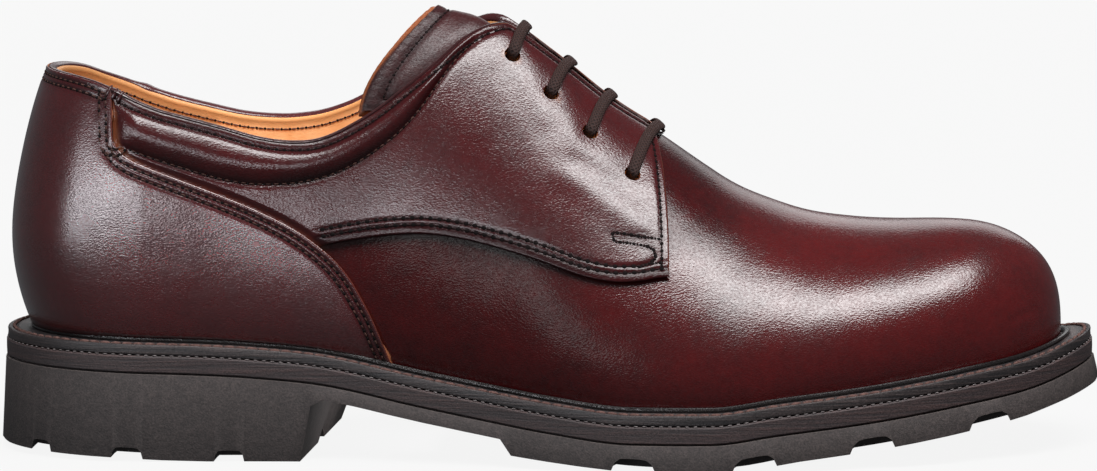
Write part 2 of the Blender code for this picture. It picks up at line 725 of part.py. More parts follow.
def build():
    for old in list(bpy.data.objects):
        bpy.data.objects.remove(old, do_unlink=True)
    shoe = bpy.data.collections.new("lace_up_shoe")
    cutters = bpy.data.collections.new("cutters")
    bpy.context.scene.collection.children.link(shoe)
    bpy.context.scene.collection.children.link(cutters)

    rubber = material("outsole_rubber", (0.055, 0.047, 0.042), 0.75)
    build_outsole(rubber, shoe)
    mid_look = material("midsole_rubber", (0.075, 0.062, 0.055), 0.7)
    build_layer("midsole", MIDSOLE_MARGIN, GAP, MIDSOLE_THICK, mid_look, shoe)
    build_welt(material("welt_leather", (0.03, 0.018, 0.016), 0.6), shoe)
    insole_look = material("insole_leather", (0.35, 0.16, 0.07), 0.6)
    build_layer("insole", INSOLE_MARGIN, MIDSOLE_THICK + 2 * GAP, INSOLE_THICK, insole_look, shoe)

    leather = material("upper_leather", (0.06, 0.012, 0.014), 0.35)
    upper = build_upper(leather, shoe)
    cut_eyelets(upper, LATERAL, cutters)
    cut_eyelets(upper, MEDIAL, cutters)
    build_counter(material("counter_leather", (0.065, 0.012, 0.014), 0.35), shoe)
    quarter_look = material("quarter_leather", (0.065, 0.012, 0.014), 0.35)
    for name, side in (("quarter_lateral", LATERAL), ("quarter_medial", MEDIAL)):
        cut_eyelets(build_quarter(name, side, quarter_look, shoe), side, cutters)
    build_tongue(material("tongue_leather", (0.05, 0.012, 0.013), 0.4), shoe)
    lace_look = material("lace_cotton", (0.035, 0.016, 0.012), 0.6)
    for index in range(len(EYELETS["x"])):
        build_bar(index, lace_look, shoe)


build()
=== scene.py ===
# %% [markdown]
# # A burgundy lace-up shoe
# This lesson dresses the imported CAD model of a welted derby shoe. The CAD gives every piece its
# place and its main form; here the leather gets its grain, seams and padding, the lace runs
# through the eyelets, and the sole gets its rubber. The model is loaded once, as a fixed frame.

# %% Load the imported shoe
import math

import bmesh
import bpy
import numpy as np
from mathutils import Matrix, Vector
from mathutils.kdtree import KDTree


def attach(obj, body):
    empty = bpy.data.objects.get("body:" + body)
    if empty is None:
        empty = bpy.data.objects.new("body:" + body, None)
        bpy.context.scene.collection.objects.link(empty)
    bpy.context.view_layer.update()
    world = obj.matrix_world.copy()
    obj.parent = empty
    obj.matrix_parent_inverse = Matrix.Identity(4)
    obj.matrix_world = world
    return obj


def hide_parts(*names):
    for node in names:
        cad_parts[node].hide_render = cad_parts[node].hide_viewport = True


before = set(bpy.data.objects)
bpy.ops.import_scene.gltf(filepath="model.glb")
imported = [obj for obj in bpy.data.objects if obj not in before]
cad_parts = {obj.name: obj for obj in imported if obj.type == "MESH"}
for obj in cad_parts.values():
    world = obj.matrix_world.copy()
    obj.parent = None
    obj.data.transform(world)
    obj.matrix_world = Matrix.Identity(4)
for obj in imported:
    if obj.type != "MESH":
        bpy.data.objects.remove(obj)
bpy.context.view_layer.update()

scene = bpy.context.scene

# %% [markdown]
# ## Camera
# The shoe was seen from its outer side, from a little above and slightly towards the toe, with a
# long lens. A camera could be aimed with a constraint, but a matrix built from three directions
# is plainer: right, up, and back towards the lens.

# %% Camera at the viewing angle
PICTURE_WIDE = 1097
PICTURE_HIGH = 471
CAMERA_TURN = math.radians(4.2)
CAMERA_RISE = math.radians(7.0)
CAMERA_ROLL = math.radians(-0.553)
CAMERA_DISTANCE = 1.553
FOCAL_PIXELS = 5605
MIDDLE_PIXEL = (545.4, 244.5)
SENSOR_WIDE = 36.0
AIM = Vector((0, 0, 0.055))


def way_to(turn, rise):
    """Direction from the shoe: turn runs from the outer side towards the toe, rise from the floor up."""
    return Vector((math.sin(turn) * math.cos(rise), -math.cos(turn) * math.cos(rise), math.sin(rise)))


to_lens = way_to(CAMERA_TURN, CAMERA_RISE)
level_right = Vector((math.cos(CAMERA_TURN), math.sin(CAMERA_TURN), 0))
level_up = to_lens.cross(level_right)
right = level_right * math.cos(CAMERA_ROLL) + level_up * math.sin(CAMERA_ROLL)
up = level_up * math.cos(CAMERA_ROLL) - level_right * math.sin(CAMERA_ROLL)
lens = bpy.data.cameras.new("side_camera")
lens.sensor_width = SENSOR_WIDE
lens.lens = SENSOR_WIDE * FOCAL_PIXELS / PICTURE_WIDE
lens.shift_x = 0.5 - MIDDLE_PIXEL[0] / PICTURE_WIDE
lens.shift_y = (MIDDLE_PIXEL[1] - PICTURE_HIGH / 2) / PICTURE_WIDE
camera = bpy.data.objects.new("side_camera", lens)
turned = Matrix((right, up, to_lens)).transposed().to_4x4()
camera.matrix_world = Matrix.Translation(AIM + to_lens * CAMERA_DISTANCE) @ turned
scene.collection.objects.link(camera)
scene.camera = camera
print(f"lens {lens.lens:.0f} mm, {CAMERA_DISTANCE} m from the shoe")

# %% [markdown]
# ## Floor and light
# Polished leather is drawn by what it mirrors. A large key box above the toe side gives the long
# highlight along the vamp, a low strip towards the heel lights the counter and the collar roll, and
# a pale wall behind draws the thin rim on top of the toe. A front box, a fill and two small cards
# open the shadows. The floor is pale and glows a little, so that it stays even.

# %% Floor and soft boxes
FLOOR_RADIUS = 7.0
FLOOR_COLOUR = (0.03, 0.03, 0.03, 1)
FLOOR_GLOW = 0.89
SKY_TINT = (0.9, 0.95, 1.0, 1)
SKY_STRENGTH = 0.11
WATTS_PER_AREA = 4
STRIP_TINT = (0.94, 0.95, 1.0)
WAIST_AIM = (-0.064, 0.0, 0.008)
COLLAR_AIM = (-0.075, 0.03, 0.085)


def new_look(name):
    """Empty material with its node tree and its shader."""
    look = bpy.data.materials.new(name)
    look.use_nodes = True
    tree = look.node_tree
    return look, tree, tree.nodes["Principled BSDF"]


def node(tree, kind, sockets=None, **settings):
    """One node: settings are its own fields, sockets are values or links by socket name."""
    made = tree.nodes.new("ShaderNode" + kind)
    for field, value in settings.items():
        setattr(made, field, value)
    for socket, value in (sockets or {}).items():
        if isinstance(value, bpy.types.NodeSocket):
            tree.links.new(value, made.inputs[socket])
        else:
            made.inputs[socket].default_value = value
    return made


def set_sockets(shader, values):
    """Constants go straight onto the shader's own sockets."""
    for socket, value in values.items():
        shader.inputs[socket].default_value = value


def mesh_from(name, bm):
    """Mesh of a finished bmesh, which is freed."""
    mesh = bpy.data.meshes.new(name)
    bm.to_mesh(mesh)
    bm.free()
    return mesh


floor_look, tree, shader = new_look("pale_floor")
set_sockets(shader, {"Base Color": FLOOR_COLOUR, "Roughness": 0.9, "Specular IOR Level": 0.0})
set_sockets(shader, {"Emission Color": (1, 1, 1, 1), "Emission Strength": FLOOR_GLOW})
bm = bmesh.new()
bmesh.ops.create_circle(bm, cap_ends=True, segments=96, radius=FLOOR_RADIUS)
floor_mesh = mesh_from("floor", bm)
floor_mesh.materials.append(floor_look)
floor = bpy.data.objects.new("floor", floor_mesh)
scene.collection.objects.link(floor)
floor.visible_glossy = False
floor.visible_diffuse = False


def soft_box(name, turn, rise, distance, wide, high, strength, tint=(1, 1, 1), aim=AIM):
    """Rectangular light that faces a point of the shoe; strength is how bright its face is."""
    light = bpy.data.lights.new(name, "AREA")
    light.shape = "RECTANGLE"
    light.size = wide
    light.size_y = high
    light.energy = WATTS_PER_AREA * strength * wide * high
    light.color = tint
    lamp = bpy.data.objects.new(name, light)
    way = way_to(math.radians(turn), math.radians(rise))
    facing = way.to_track_quat("Z", "Y").to_matrix().to_4x4()
    lamp.matrix_world = Matrix.Translation(Vector(aim) + way * distance) @ facing
    lamp.visible_camera = False
    scene.collection.objects.link(lamp)
    return lamp


soft_box("key_box", turn=27, rise=65, distance=3.0, wide=3.2, high=1.2, strength=10.5)
low_strip = soft_box(
    "low_strip", turn=-33, rise=7, distance=0.75, wide=0.76, high=0.14, strength=6.2, tint=STRIP_TINT,
)
low_strip.visible_diffuse = False
soft_box("front_box", turn=-25, rise=13, distance=2.8, wide=0.7, high=0.45, strength=2.2)
soft_box("back_wall", turn=178, rise=25, distance=3.6, wide=2.6, high=1.5, strength=0.9)
far_fill = soft_box("far_fill", turn=185, rise=22, distance=3.0, wide=2.4, high=1.8, strength=3.0)
far_fill.visible_glossy = False
waist_card = soft_box(
    "waist_card", turn=90, rise=0, distance=0.040, wide=0.040, high=0.008, strength=5.0, aim=WAIST_AIM,
)
waist_card.data.spread = math.radians(100)
collar_card = soft_box(
    "collar_card", turn=0, rise=60, distance=0.09, wide=0.07, high=0.02, strength=6.5, aim=COLLAR_AIM,
)
collar_card.data.spread = math.radians(80)
collar_card.visible_glossy = False
world = bpy.data.worlds.new("studio")
world.use_nodes = True
set_sockets(world.node_tree.nodes["Background"], {"Color": SKY_TINT, "Strength": SKY_STRENGTH})
scene.world = world
scene.view_settings.view_transform = "Standard"

# %% [markdown]
# ## The last
# A shoe is pulled over a wooden last, so all its leather pieces share one curved surface. It is
# given here as in the CAD: a table of sections from heel to toe, and a cubic curve that climbs
# each section from the feather line, where the sole begins, to the ridge. Arrays carry many
# places at once: side is -1 outside and 1 inside the foot, s runs from heel to toe, t climbs.

# %% Tables of the last
MM = 0.001
OUTER = -1.0
INNER = 1.0
SIDES = (OUTER, INNER)
BOX_MIDDLE = np.array((-1.6, 0.1, 0.0))


def table(columns, *rows):
    """Short table: one array under each column name."""
    return dict(zip(columns.split(), np.array(rows, float).T))


BED = table(
    "x z",
    (-152, 25.0), (-116, 24.1), (-80, 22.5), (-62, 20.8), (-36, 15.6), (-13, 11.7), (3, 9.4),
    (25, 7.2), (46, 7.2), (64, 9.4), (86, 11.8), (114, 15.6), (134, 18.8), (152, 24.6),
)
LAST = table(
    "x centre half height swell wall crown lean",
    (-110, 2.6, 31.5, 100.0, 10.0, 0.35, 0.80, 0.0),
    (-80, 2.2, 30.0, 100.5, 9.0, 0.33, 0.74, 0.0),
    (-50, 0.4, 29.0, 102.4, 9.0, 0.30, 0.64, 0.0),
    (-30, -1.2, 31.0, 100.5, 8.5, 0.28, 0.61, 0.0),
    (-14, -1.6, 34.5, 97.4, 8.0, 0.27, 0.58, 0.5),
    (0, -1.7, 39.0, 89.1, 7.0, 0.27, 0.56, 1.0),
    (14, -1.3, 43.0, 79.1, 6.0, 0.28, 0.54, 2.0),
    (30, -0.6, 46.3, 69.0, 5.0, 0.32, 0.50, 3.0),
    (42, 0.0, 47.3, 60.5, 4.5, 0.36, 0.49, 3.5),
    (55, 0.6, 46.9, 51.8, 4.0, 0.42, 0.50, 4.0),
    (69, 1.4, 45.5, 44.8, 3.5, 0.46, 0.53, 4.0),
    (83, 2.4, 43.6, 41.0, 3.5, 0.50, 0.56, 3.8),
    (97, 3.4, 41.2, 38.6, 3.5, 0.53, 0.57, 3.0),
    (110, 4.4, 38.8, 37.2, 3.5, 0.54, 0.58, 2.0),
    (125, 5.6, 36.0, 36.1, 3.5, 0.55, 0.58, 1.0),
    (141, 6.6, 33.0, 33.8, 3.0, 0.55, 0.58, 0.0),
)
TOPLINE = table(
    "x outer inner",
    (-145, 105.6, 105.6), (-138, 104.8, 104.8), (-133, 104.2, 103.3), (-128, 103.5, 100.8),
    (-121.5, 101.9, 98.0), (-115.5, 99.3, 95.4), (-110, 96.7, 93.5), (-104.5, 94.6, 92.0),
    (-99, 93.1, 90.7), (-88, 90.1, 88.4),
    (-77.5, 87.2, 87.8), (-72, 86.3, 88.2), (-66.5, 86.1, 89.1), (-61, 86.8, 90.8), (-57, 88.2, 92.4),
    (-52.5, 90.4, 94.8), (-44.5, 95.2, 99.8), (-39, 99.4, 103.5), (-34, 103.2, 107.0), (-28.5, 107.7, 111.2),
    (-23.5, 112.1, 115.0), (-19.5, 114.6, 116.9), (-17, 115.8, 117.8), (-14.5, 116.5, 118.2), (0, 119, 120),
)
ROLL_LINE = table(
    "x z",
    (-118, 87.0), (-111, 83.9), (-99, 79.8), (-88, 76.6), (-77, 75.1), (-66, 75.6), (-56.5, 78.0),
    (-44.5, 84.7), (-39, 89.0), (-33.5, 95.0), (-28.5, 102.1), (-25.5, 106.2), (-20, 112),
)
COUNTER_EDGE = table(
    "x z",
    (-117.5, 97.5), (-117.2, 89.0), (-116.5, 86.2), (-115, 83.9), (-112.5, 82.0), (-108.5, 80.1),
    (-99, 76.4), (-88, 72.2), (-77, 67.6), (-66, 61.8), (-61.5, 58.6), (-56.5, 54.3), (-52.5, 49.4),
    (-49, 43.3), (-46.3, 37.9), (-43.7, 31.6), (-40, 22),
)
QUARTER_EDGE = table(
    "x z",
    (-61, 58.3), (-55.5, 59.4), (-44, 61.1), (-33, 61.8), (-22, 60.6), (-11, 58.1), (0, 54.9), (10.5, 51.2),
    (16, 49.9), (21.5, 49.3), (27, 49.5), (31, 50.1), (36, 50.5),
)
EYELETS = table("x z", (-9.5, 108.3), (1.1, 98.2), (11.8, 87.6), (23.6, 76.5))
print("sections of the last:", len(LAST["x"]))

# %% [markdown]
# A smooth curve through a table column gives every size between two sections, and the cubic
# gives the point. Numpy does this for a whole sheet of leather at once, which a loop over
# vertices would do far more slowly.

# %% Places on the last
FEATHER_TIP = 140.8
FEATHER_BACK = -143.0
HEEL_AXIS = -110.0
HEEL_POWER = 2.15
BACK_SWELL = 13.5
BACK_CROWN = 0.74
TOE_PLAN_START = 82.0
TOE_PLAN_POWER = 2.25
TOE_TOP_START = 98.0
TOE_TOP_POWER = 2.75
FEATHER_EDGE = 1.2
GAP = 0.3
MIDSOLE_THICK = 4.7
WELT_THICK = 2.8


def along(columns, name, x):
    """Smooth curve through one column of a table, level at its crests."""
    xs = columns["x"]
    ys = columns[name]
    step = np.diff(xs)
    slope = np.diff(ys) / step
    inner = (slope[:-1] * step[1:] + slope[1:] * step[:-1]) / (step[:-1] + step[1:])
    inner[slope[:-1] * slope[1:] <= 0] = 0
    tangent = np.concatenate([slope[:1], inner, slope[-1:]])
    x = np.clip(x, xs[0], xs[-1])
    i = np.clip(np.searchsorted(xs, x) - 1, 0, len(step) - 1)
    u = (x - xs[i]) / step[i]
    start = (1 + 2 * u) * (1 - u) ** 2 * ys[i] + u * (1 - u) ** 2 * step[i] * tangent[i]
    end = u * u * (3 - 2 * u) * ys[i + 1] + u * u * (u - 1) * step[i] * tangent[i + 1]
    return start + end


def bed_height(x):
    """Height of the outsole's upper face."""
    return along(BED, "z", x)


def feather_height(x):
    """Height of the welt's upper face, on which the upper stands."""
    return bed_height(x) + MIDSOLE_THICK + WELT_THICK + 3 * GAP


def fall(x, start, end, power):
    """Rounded fall from one at start to nothing at end."""
    run = np.clip((x - start) / (end - start), 0, 1)
    return (1 - run ** power) ** (1 / power)


def feather_line(side, s):
    """Foot of each section in plan, the axis that it turns about, and how far round the heel it is."""
    body = np.maximum(s, HEEL_AXIS)
    centre = along(LAST, "centre", body)
    plan = fall(s, TOE_PLAN_START, FEATHER_TIP, TOE_PLAN_POWER)
    back = np.clip((HEEL_AXIS - s) / (HEEL_AXIS - FEATHER_BACK), 0, 1)
    half = along(LAST, "half", body) * plan * fall(back, 0, 1, HEEL_POWER)
    foot = np.stack([np.maximum(s, FEATHER_BACK), centre + side * half], axis=-1)
    axis = np.stack([body, centre + along(LAST, "lean", body) * plan], axis=-1)
    return foot, axis, plan, back


def last_place(side, s, t):
    """Points of the last surface in millimetres."""
    side, s, t = np.broadcast_arrays(np.asarray(side, float), np.asarray(s, float), np.asarray(t, float))
    body = np.maximum(s, HEEL_AXIS)
    foot, axis, plan, back = feather_line(side, s)
    away = foot - axis
    width = np.linalg.norm(away, axis=-1)
    straight = np.stack([0 * s, side], axis=-1)
    fanned = away / np.maximum(width, 1e-9)[..., None]
    out = np.where((s < HEEL_AXIS)[..., None], fanned, straight)
    height = along(LAST, "height", body) * fall(s, TOE_TOP_START, FEATHER_TIP, TOE_TOP_POWER)
    swell = along(LAST, "swell", body) * plan
    swell = swell + (BACK_SWELL - swell) * back ** 2
    crown = along(LAST, "crown", body)
    crown = (crown + (BACK_CROWN - crown) * back ** 2) * width
    wall = along(LAST, "wall", body) * height
    u = 1 - t
    reach = u ** 3 * width + 3 * u * u * t * (width + swell) + 3 * u * t * t * crown
    rise = 3 * u * u * t * wall + 3 * u * t * t * height + t ** 3 * height
    z = feather_height(foot[..., 0]) + FEATHER_EDGE + rise
    return np.concatenate([axis + out * reach[..., None], z[..., None]], axis=-1)


def unit(vectors):
    """Vectors made one long."""
    return vectors / np.maximum(np.linalg.norm(vectors, axis=-1, keepdims=True), 1e-9)


def steps(side, s, t):
    """How the surface runs for one millimetre of s and for a whole climb."""
    ds = 0.4
    dt = 0.004
    s = np.minimum(s, FEATHER_TIP - 0.05)
    low = np.maximum(t - dt, 0)
    high = np.minimum(t + dt, 1)
    run = (last_place(side, s + ds, t) - last_place(side, s - ds, t)) / (2 * ds)
    climb = (last_place(side, s, high) - last_place(side, s, low)) / (high - low)[..., None]
    return run, climb


def last_normal(side, s, t):
    """Way out of the leather."""
    side, s, t = np.broadcast_arrays(np.asarray(side, float), np.asarray(s, float), np.asarray(t, float))
    run, climb = steps(side, s, t)
    normal = np.cross(run, climb) * -side[..., None]
    normal[..., 1] = np.where(s <= FEATHER_BACK, 0, normal[..., 1])
    return unit(normal)


def lifted(side, s, t, lift):
    """Points above the last surface."""
    return last_place(side, s, t) + last_normal(side, s, t) * np.asarray(lift)[..., None]


def placed(points):
    """Table millimetres to metres in the frame of the CAD."""
    return (points - BOX_MIDDLE) * MM


print("toe tip of the last:", np.round(placed(last_place(OUTER, FEATHER_TIP, 0.5)), 4))

# %% [markdown]
# ## Edges on the last
# The patterns of the shoe are drawn in side view: collar, counter and quarter edges are curves of
# height over length. Halving finds where a section climbs through such a curve. The top edge of
# the leather is the collar, and towards the front the edge of the throat slot.

# %% Where a section meets an edge
THROAT_END = 28.6
THROAT_TOP = -13.0
THROAT_GAP_TOP = 4.6
THROAT_GAP_FOOT = 3.2
THROAT_BACK = -60.0
CORNER_ROUND = 34.0
CLIMB_HALVINGS = 24
PLACE_HALVINGS = 22


def climb_until(s, missing):
    """Root of a rising function of the climb, by halving, for many sections at once."""
    low = np.zeros_like(s)
    high = np.ones_like(s)
    for _ in range(CLIMB_HALVINGS):
        middle = (low + high) / 2
        short = missing(middle) < 0
        low = np.where(short, middle, low)
        high = np.where(short, high, middle)
    return (low + high) / 2


def topline(side, x):
    """Height of the collar's edge in side view."""
    return np.where(side < 0, along(TOPLINE, "outer", x), along(TOPLINE, "inner", x))


def climb_to(side, s, edge):
    """How far up a section the side-view edge is reached."""
    def missing(t):
        place = last_place(side, s, t)
        return place[..., 2] - edge(place[..., 0])
    return climb_until(s, missing)


def throat_climb(side, s):
    """How far up a section the edge of the throat slot is reached."""
    run = np.clip((s - THROAT_TOP) / (THROAT_END - THROAT_TOP), 0, 1)
    half_gap = THROAT_GAP_TOP + (THROAT_GAP_FOOT - THROAT_GAP_TOP) * run
    ridge = last_place(side, s, 1.0)[..., 1]
    return climb_until(s, lambda t: half_gap - np.abs(last_place(side, s, t)[..., 1] - ridge))


def leather_top(side, s):
    """Upper edge of the leather, with the corner between collar and facing rounded off."""
    collar = climb_to(side, s, lambda x: topline(side, x))
    throat = throat_climb(side, s)
    rounded = -np.log(np.exp(-CORNER_ROUND * collar) + np.exp(-CORNER_ROUND * throat)) / CORNER_ROUND
    return np.where(s >= THROAT_END, 1.0, np.where(s < THROAT_BACK, collar, rounded))


def spot_at(side, x, z):
    """Section and climb of a point that is given in side view."""
    low = np.full_like(x, FEATHER_BACK)
    high = np.full_like(x, HEEL_AXIS)
    for _ in range(PLACE_HALVINGS):
        middle = (low + high) / 2
        short = last_place(side, middle, climb_to(side, middle, lambda _: z))[..., 0] < x
        low = np.where(short, middle, low)
        high = np.where(short, high, middle)
    s = np.where(x >= HEEL_AXIS, x, (low + high) / 2)
    return s, climb_to(side, s, lambda _: z)


sample_s = np.array([-100.0, -60.0, -20.0, 10.0])
sample_tops = last_place(OUTER, sample_s, leather_top(OUTER, sample_s))
print("collar and facing heights:", np.round(sample_tops[:, 2], 1))

# %% [markdown]
# ## Sheets of leather
# A cut panel begins as a flat grid from bmesh, and each of its corners is laid on the last by a
# function, lifted by padding and pressed in along seams. A modelled sheet then gets its wall with
# Solidify. Helpers measure how far each corner is from a seam, so that a seam can press it in.

# %% Helpers for sheets
def flat_sheet(columns, rows):
    """Flat grid of corners, with the column and the row of each."""
    bm = bmesh.new()
    bmesh.ops.create_grid(bm, x_segments=columns - 1, y_segments=rows - 1, size=0.5)
    flat = np.array([v.co[:] for v in bm.verts])
    column = np.rint((flat[:, 0] + 0.5) * (columns - 1)).astype(int)
    row = np.rint((flat[:, 1] + 0.5) * (rows - 1)).astype(int)
    return bm, column, row


def lay(bm, points, outward=None):
    """Move the corners of a sheet to points, faces turned the way that outward says."""
    for corner, point in zip(bm.verts, placed(points)):
        corner.co = point
    bm.normal_update()
    if outward is not None:
        lean = sum(corner.normal.dot(Vector(way)) for corner, way in zip(bm.verts, outward))
        if lean < 0:
            bmesh.ops.reverse_faces(bm, faces=bm.faces)


def mark(bm, name, values):
    """Keep one number for each corner, for the material to read."""
    layer = bm.verts.layers.float.new(name)
    for corner, value in zip(bm.verts, values):
        corner[layer] = value


def walked_length(points):
    """Length walked along a path up to each of its points."""
    return np.concatenate([[0], np.cumsum(np.linalg.norm(np.diff(points, axis=0), axis=1))])


def away_from(points, path):
    """Distance of each point from a path of points."""
    tree = KDTree(len(path))
    for i, point in enumerate(path):
        tree.insert(point, i)
    tree.balance()
    return np.array([tree.find(point)[2] for point in points])


def ease(value, start, end):
    """Soft step from nothing at start to one at end."""
    share = np.clip((value - start) / (end - start), 0, 1)
    return share * share * (3 - 2 * share)


def trough(distance, deep, wide):
    """Pressed line: deep at the line, gone a little beyond its width."""
    return -deep * np.exp(-(distance / wide) ** 2)


def edge_round(distance, radius):
    """How far a rounded edge drops below the sheet."""
    inside = np.clip(radius - distance, 0, radius)
    return -(radius - np.sqrt(radius ** 2 - inside ** 2))


def make_piece(name, bm, looks, sharp=40, merge=0.00002):
    """Finish a mesh as a piece of the shoe that rides on it."""
    bmesh.ops.remove_doubles(bm, verts=bm.verts, dist=merge)
    bmesh.ops.dissolve_degenerate(bm, edges=bm.edges, dist=merge / 2)
    mesh = mesh_from(name, bm)
    for look in looks:
        mesh.materials.append(look)
    mesh.shade_smooth()
    mesh.set_sharp_from_angle(angle=math.radians(sharp))
    piece = bpy.data.objects.new(name, mesh)
    scene.collection.objects.link(piece)
    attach(piece, "root")
    return piece


def give_wall(piece, wall, inside=0, rim=0):
    """Thicken a sheet inwards; inside and rim choose the looks of its back and its cut edge."""
    step = piece.modifiers.new("wall", "SOLIDIFY")
    step.thickness = wall * MM
    step.offset = -1
    step.use_even_offset = False
    step.use_quality_normals = True
    step.material_offset = inside
    step.material_offset_rim = rim
    return step


def count(piece):
    """Triangles of a finished piece."""
    shown = piece.evaluated_get(bpy.context.evaluated_depsgraph_get()).to_mesh()
    return sum(len(face.vertices) - 2 for face in shown.polygons)


print("helpers ready")

# %% [markdown]
# ## Burgundy leather
# Waxed calf has a fine pebble, tiny slanted wrinkles and a burnish that darkens edges and seams.
# A photo texture would carry all that, but it would also carry its light. Noise in the object's
# own coordinates does it at any size: colour from slow noise and from a value kept on the sheet
# for burnish and for painted shade, grain from fast noise as bump, and a thin clear coat for the wax.

# %% Leather looks
RAW_TAN = (0.21, 0.065, 0.026)


def noise(tree, place, scale, detail, roughness=0.5):
    """Noise at a place; a scale of 1000 gives grains of about a millimetre."""
    sockets = {"Vector": place, "Scale": scale, "Detail": detail, "Roughness": roughness}
    return node(tree, "TexNoise", sockets).outputs["Fac"]


def ranged(tree, value, low, high, to_low=0.0, to_high=1.0):
    """Value carried from one range to another."""
    sockets = {"Value": value, "From Min": low, "From Max": high, "To Min": to_low, "To Max": to_high}
    return node(tree, "MapRange", sockets).outputs["Result"]


def blended(tree, share, first, second):
    """Colour between two, each a socket or three numbers; 6 and 7 are a Mix node's colour sockets."""
    pair = [c if isinstance(c, bpy.types.NodeSocket) else (*c, 1) for c in (first, second)]
    return node(tree, "Mix", {"Factor": share, 6: pair[0], 7: pair[1]}, data_type="RGBA").outputs[2]


def reckoned(tree, operation, first, second, clamp=False):
    """Sum, product or the like of two values."""
    return node(tree, "Math", {0: first, 1: second}, operation=operation, use_clamp=clamp).outputs[0]


def bumped(tree, height, strength, distance, under=None):
    """Way out of the surface with a bump on it, laid over another bump where there is one."""
    sockets = {"Strength": strength, "Distance": distance, "Height": height}
    if under is not None:
        sockets["Normal"] = under
    return node(tree, "Bump", sockets).outputs[0]


def kept_value(tree, name):
    """Number that a sheet keeps for each of its corners."""
    return node(tree, "Attribute", attribute_name=name).outputs["Fac"]


def leather_look(name, red, dark, rough, coat, coat_ior=1.45, coat_rough=0.12):
    """Waxed calf: red where plain, dark where burnished or painted with shade, tan where cut raw or painted
    with an edge highlight.
    """
    look, tree, shader = new_look(name)
    place = node(tree, "TexCoord").outputs["Object"]
    # Kept per corner: burnish along seams and edges, and painted shade on the vamp and the collar roll; it
    # darkens the colour and dims sheen and coat.
    burnish_and_shade = kept_value(tree, "burnish_and_shade")
    cloud = noise(tree, place, 34, 4, 0.6)
    mottle = noise(tree, place, 420, 3, 0.7)
    cloudy = reckoned(tree, "MULTIPLY", ranged(tree, cloud, 0.36, 0.68), 0.45)
    mottled = reckoned(tree, "ADD", cloudy, ranged(tree, mottle, 0.3, 0.75, 0, 0.35))
    shade = reckoned(tree, "ADD", mottled, burnish_and_shade, clamp=True)
    # The second kept value paints the tan of cut edges, and on the quarter's front and facing edges a painted
    # highlight.
    colour = blended(tree, kept_value(tree, "raw_and_highlight"), blended(tree, shade, red, dark), RAW_TAN)
    tree.links.new(colour, shader.inputs["Base Color"])

    slant = {"Vector": place, "Rotation": (0, math.radians(38), 0), "Scale": (1.0, 0.8, 1.9)}
    wrinkle = noise(tree, node(tree, "Mapping", slant).outputs[0], 1500, 1)
    pebbles = {"Vector": place, "Scale": 1900, "Randomness": 1.0}
    pebble = node(tree, "TexVoronoi", pebbles, feature="SMOOTH_F1").outputs["Distance"]
    soft = bumped(tree, noise(tree, place, 60, 2), 0.22, 0.0012)
    lined = bumped(tree, wrinkle, 0.22, 0.0003, soft)
    grained = bumped(tree, pebble, 0.12, 0.0002, lined)
    tree.links.new(grained, shader.inputs["Normal"])
    tree.links.new(lined, shader.inputs["Coat Normal"])

    tree.links.new(ranged(tree, cloud, 0.3, 0.7, rough - 0.05, rough + 0.07), shader.inputs["Roughness"])
    sheen = ranged(tree, wrinkle, 0.35, 0.65, 0.30, 0.66)
    shine = reckoned(tree, "MULTIPLY", sheen, ranged(tree, burnish_and_shade, 0, 0.8, 1.0, 0.3))
    tree.links.new(shine, shader.inputs["Specular IOR Level"])
    tree.links.new(ranged(tree, burnish_and_shade, 0, 0.6, coat, 0.15 * coat), shader.inputs["Coat Weight"])
    set_sockets(shader, {"Specular IOR Level": 0.48, "Coat Weight": coat})
    set_sockets(shader, {"Coat Roughness": coat_rough, "Coat IOR": coat_ior})
    return look


vamp_look = leather_look(
    "vamp_leather", red=(0.088, 0.0066, 0.0072), dark=(0.024, 0.0036, 0.0042), rough=0.21, coat=0.30,
)
quarter_look = leather_look(
    "quarter_leather", red=(0.076, 0.0068, 0.0078), dark=(0.023, 0.0038, 0.0046), rough=0.23, coat=0.28,
)
counter_look = leather_look(
    "counter_leather", red=(0.098, 0.0072, 0.0090), dark=(0.030, 0.0040, 0.0050), rough=0.24, coat=1.0,
    coat_ior=1.65, coat_rough=0.23,
)
tongue_look = leather_look(
    "tongue_leather", red=(0.058, 0.0064, 0.0070), dark=(0.018, 0.0036, 0.0042), rough=0.42, coat=0.08,
)
piping_look = leather_look(
    "piping_leather", red=(0.050, 0.0100, 0.0110), dark=(0.020, 0.0060, 0.0065), rough=0.28, coat=0.5,
)
print("leathers:", [m.name for m in bpy.data.materials if m.name.endswith("leather")])

# %% [markdown]
# The inside is lined with tan leather, and where a panel is cut its raw edge shows the same tan,
# a little darker. Suede-like flesh has no coat, only a soft noise in its colour.

# %% Lining and raw edge looks
GRIP_SHADE = 0.55


def tan_look(name, light, dark, rough):
    """Unwaxed tan leather, darker where a kept value says: the heel grip sewn in, and painted shade under the
    rim.
    """
    look, tree, shader = new_look(name)
    place = node(tree, "TexCoord").outputs["Object"]
    shade = ranged(tree, noise(tree, place, 70, 5, 0.65), 0.3, 0.7)
    grip_and_shade_colour = [GRIP_SHADE * c for c in dark]
    colour = blended(tree, kept_value(tree, "grip_and_rim_shade"), blended(tree, shade, light, dark), grip_and_shade_colour)
    tree.links.new(colour, shader.inputs["Base Color"])
    tree.links.new(bumped(tree, noise(tree, place, 1700, 2), 0.3, 0.0003), shader.inputs["Normal"])
    set_sockets(shader, {"Roughness": rough})
    return look


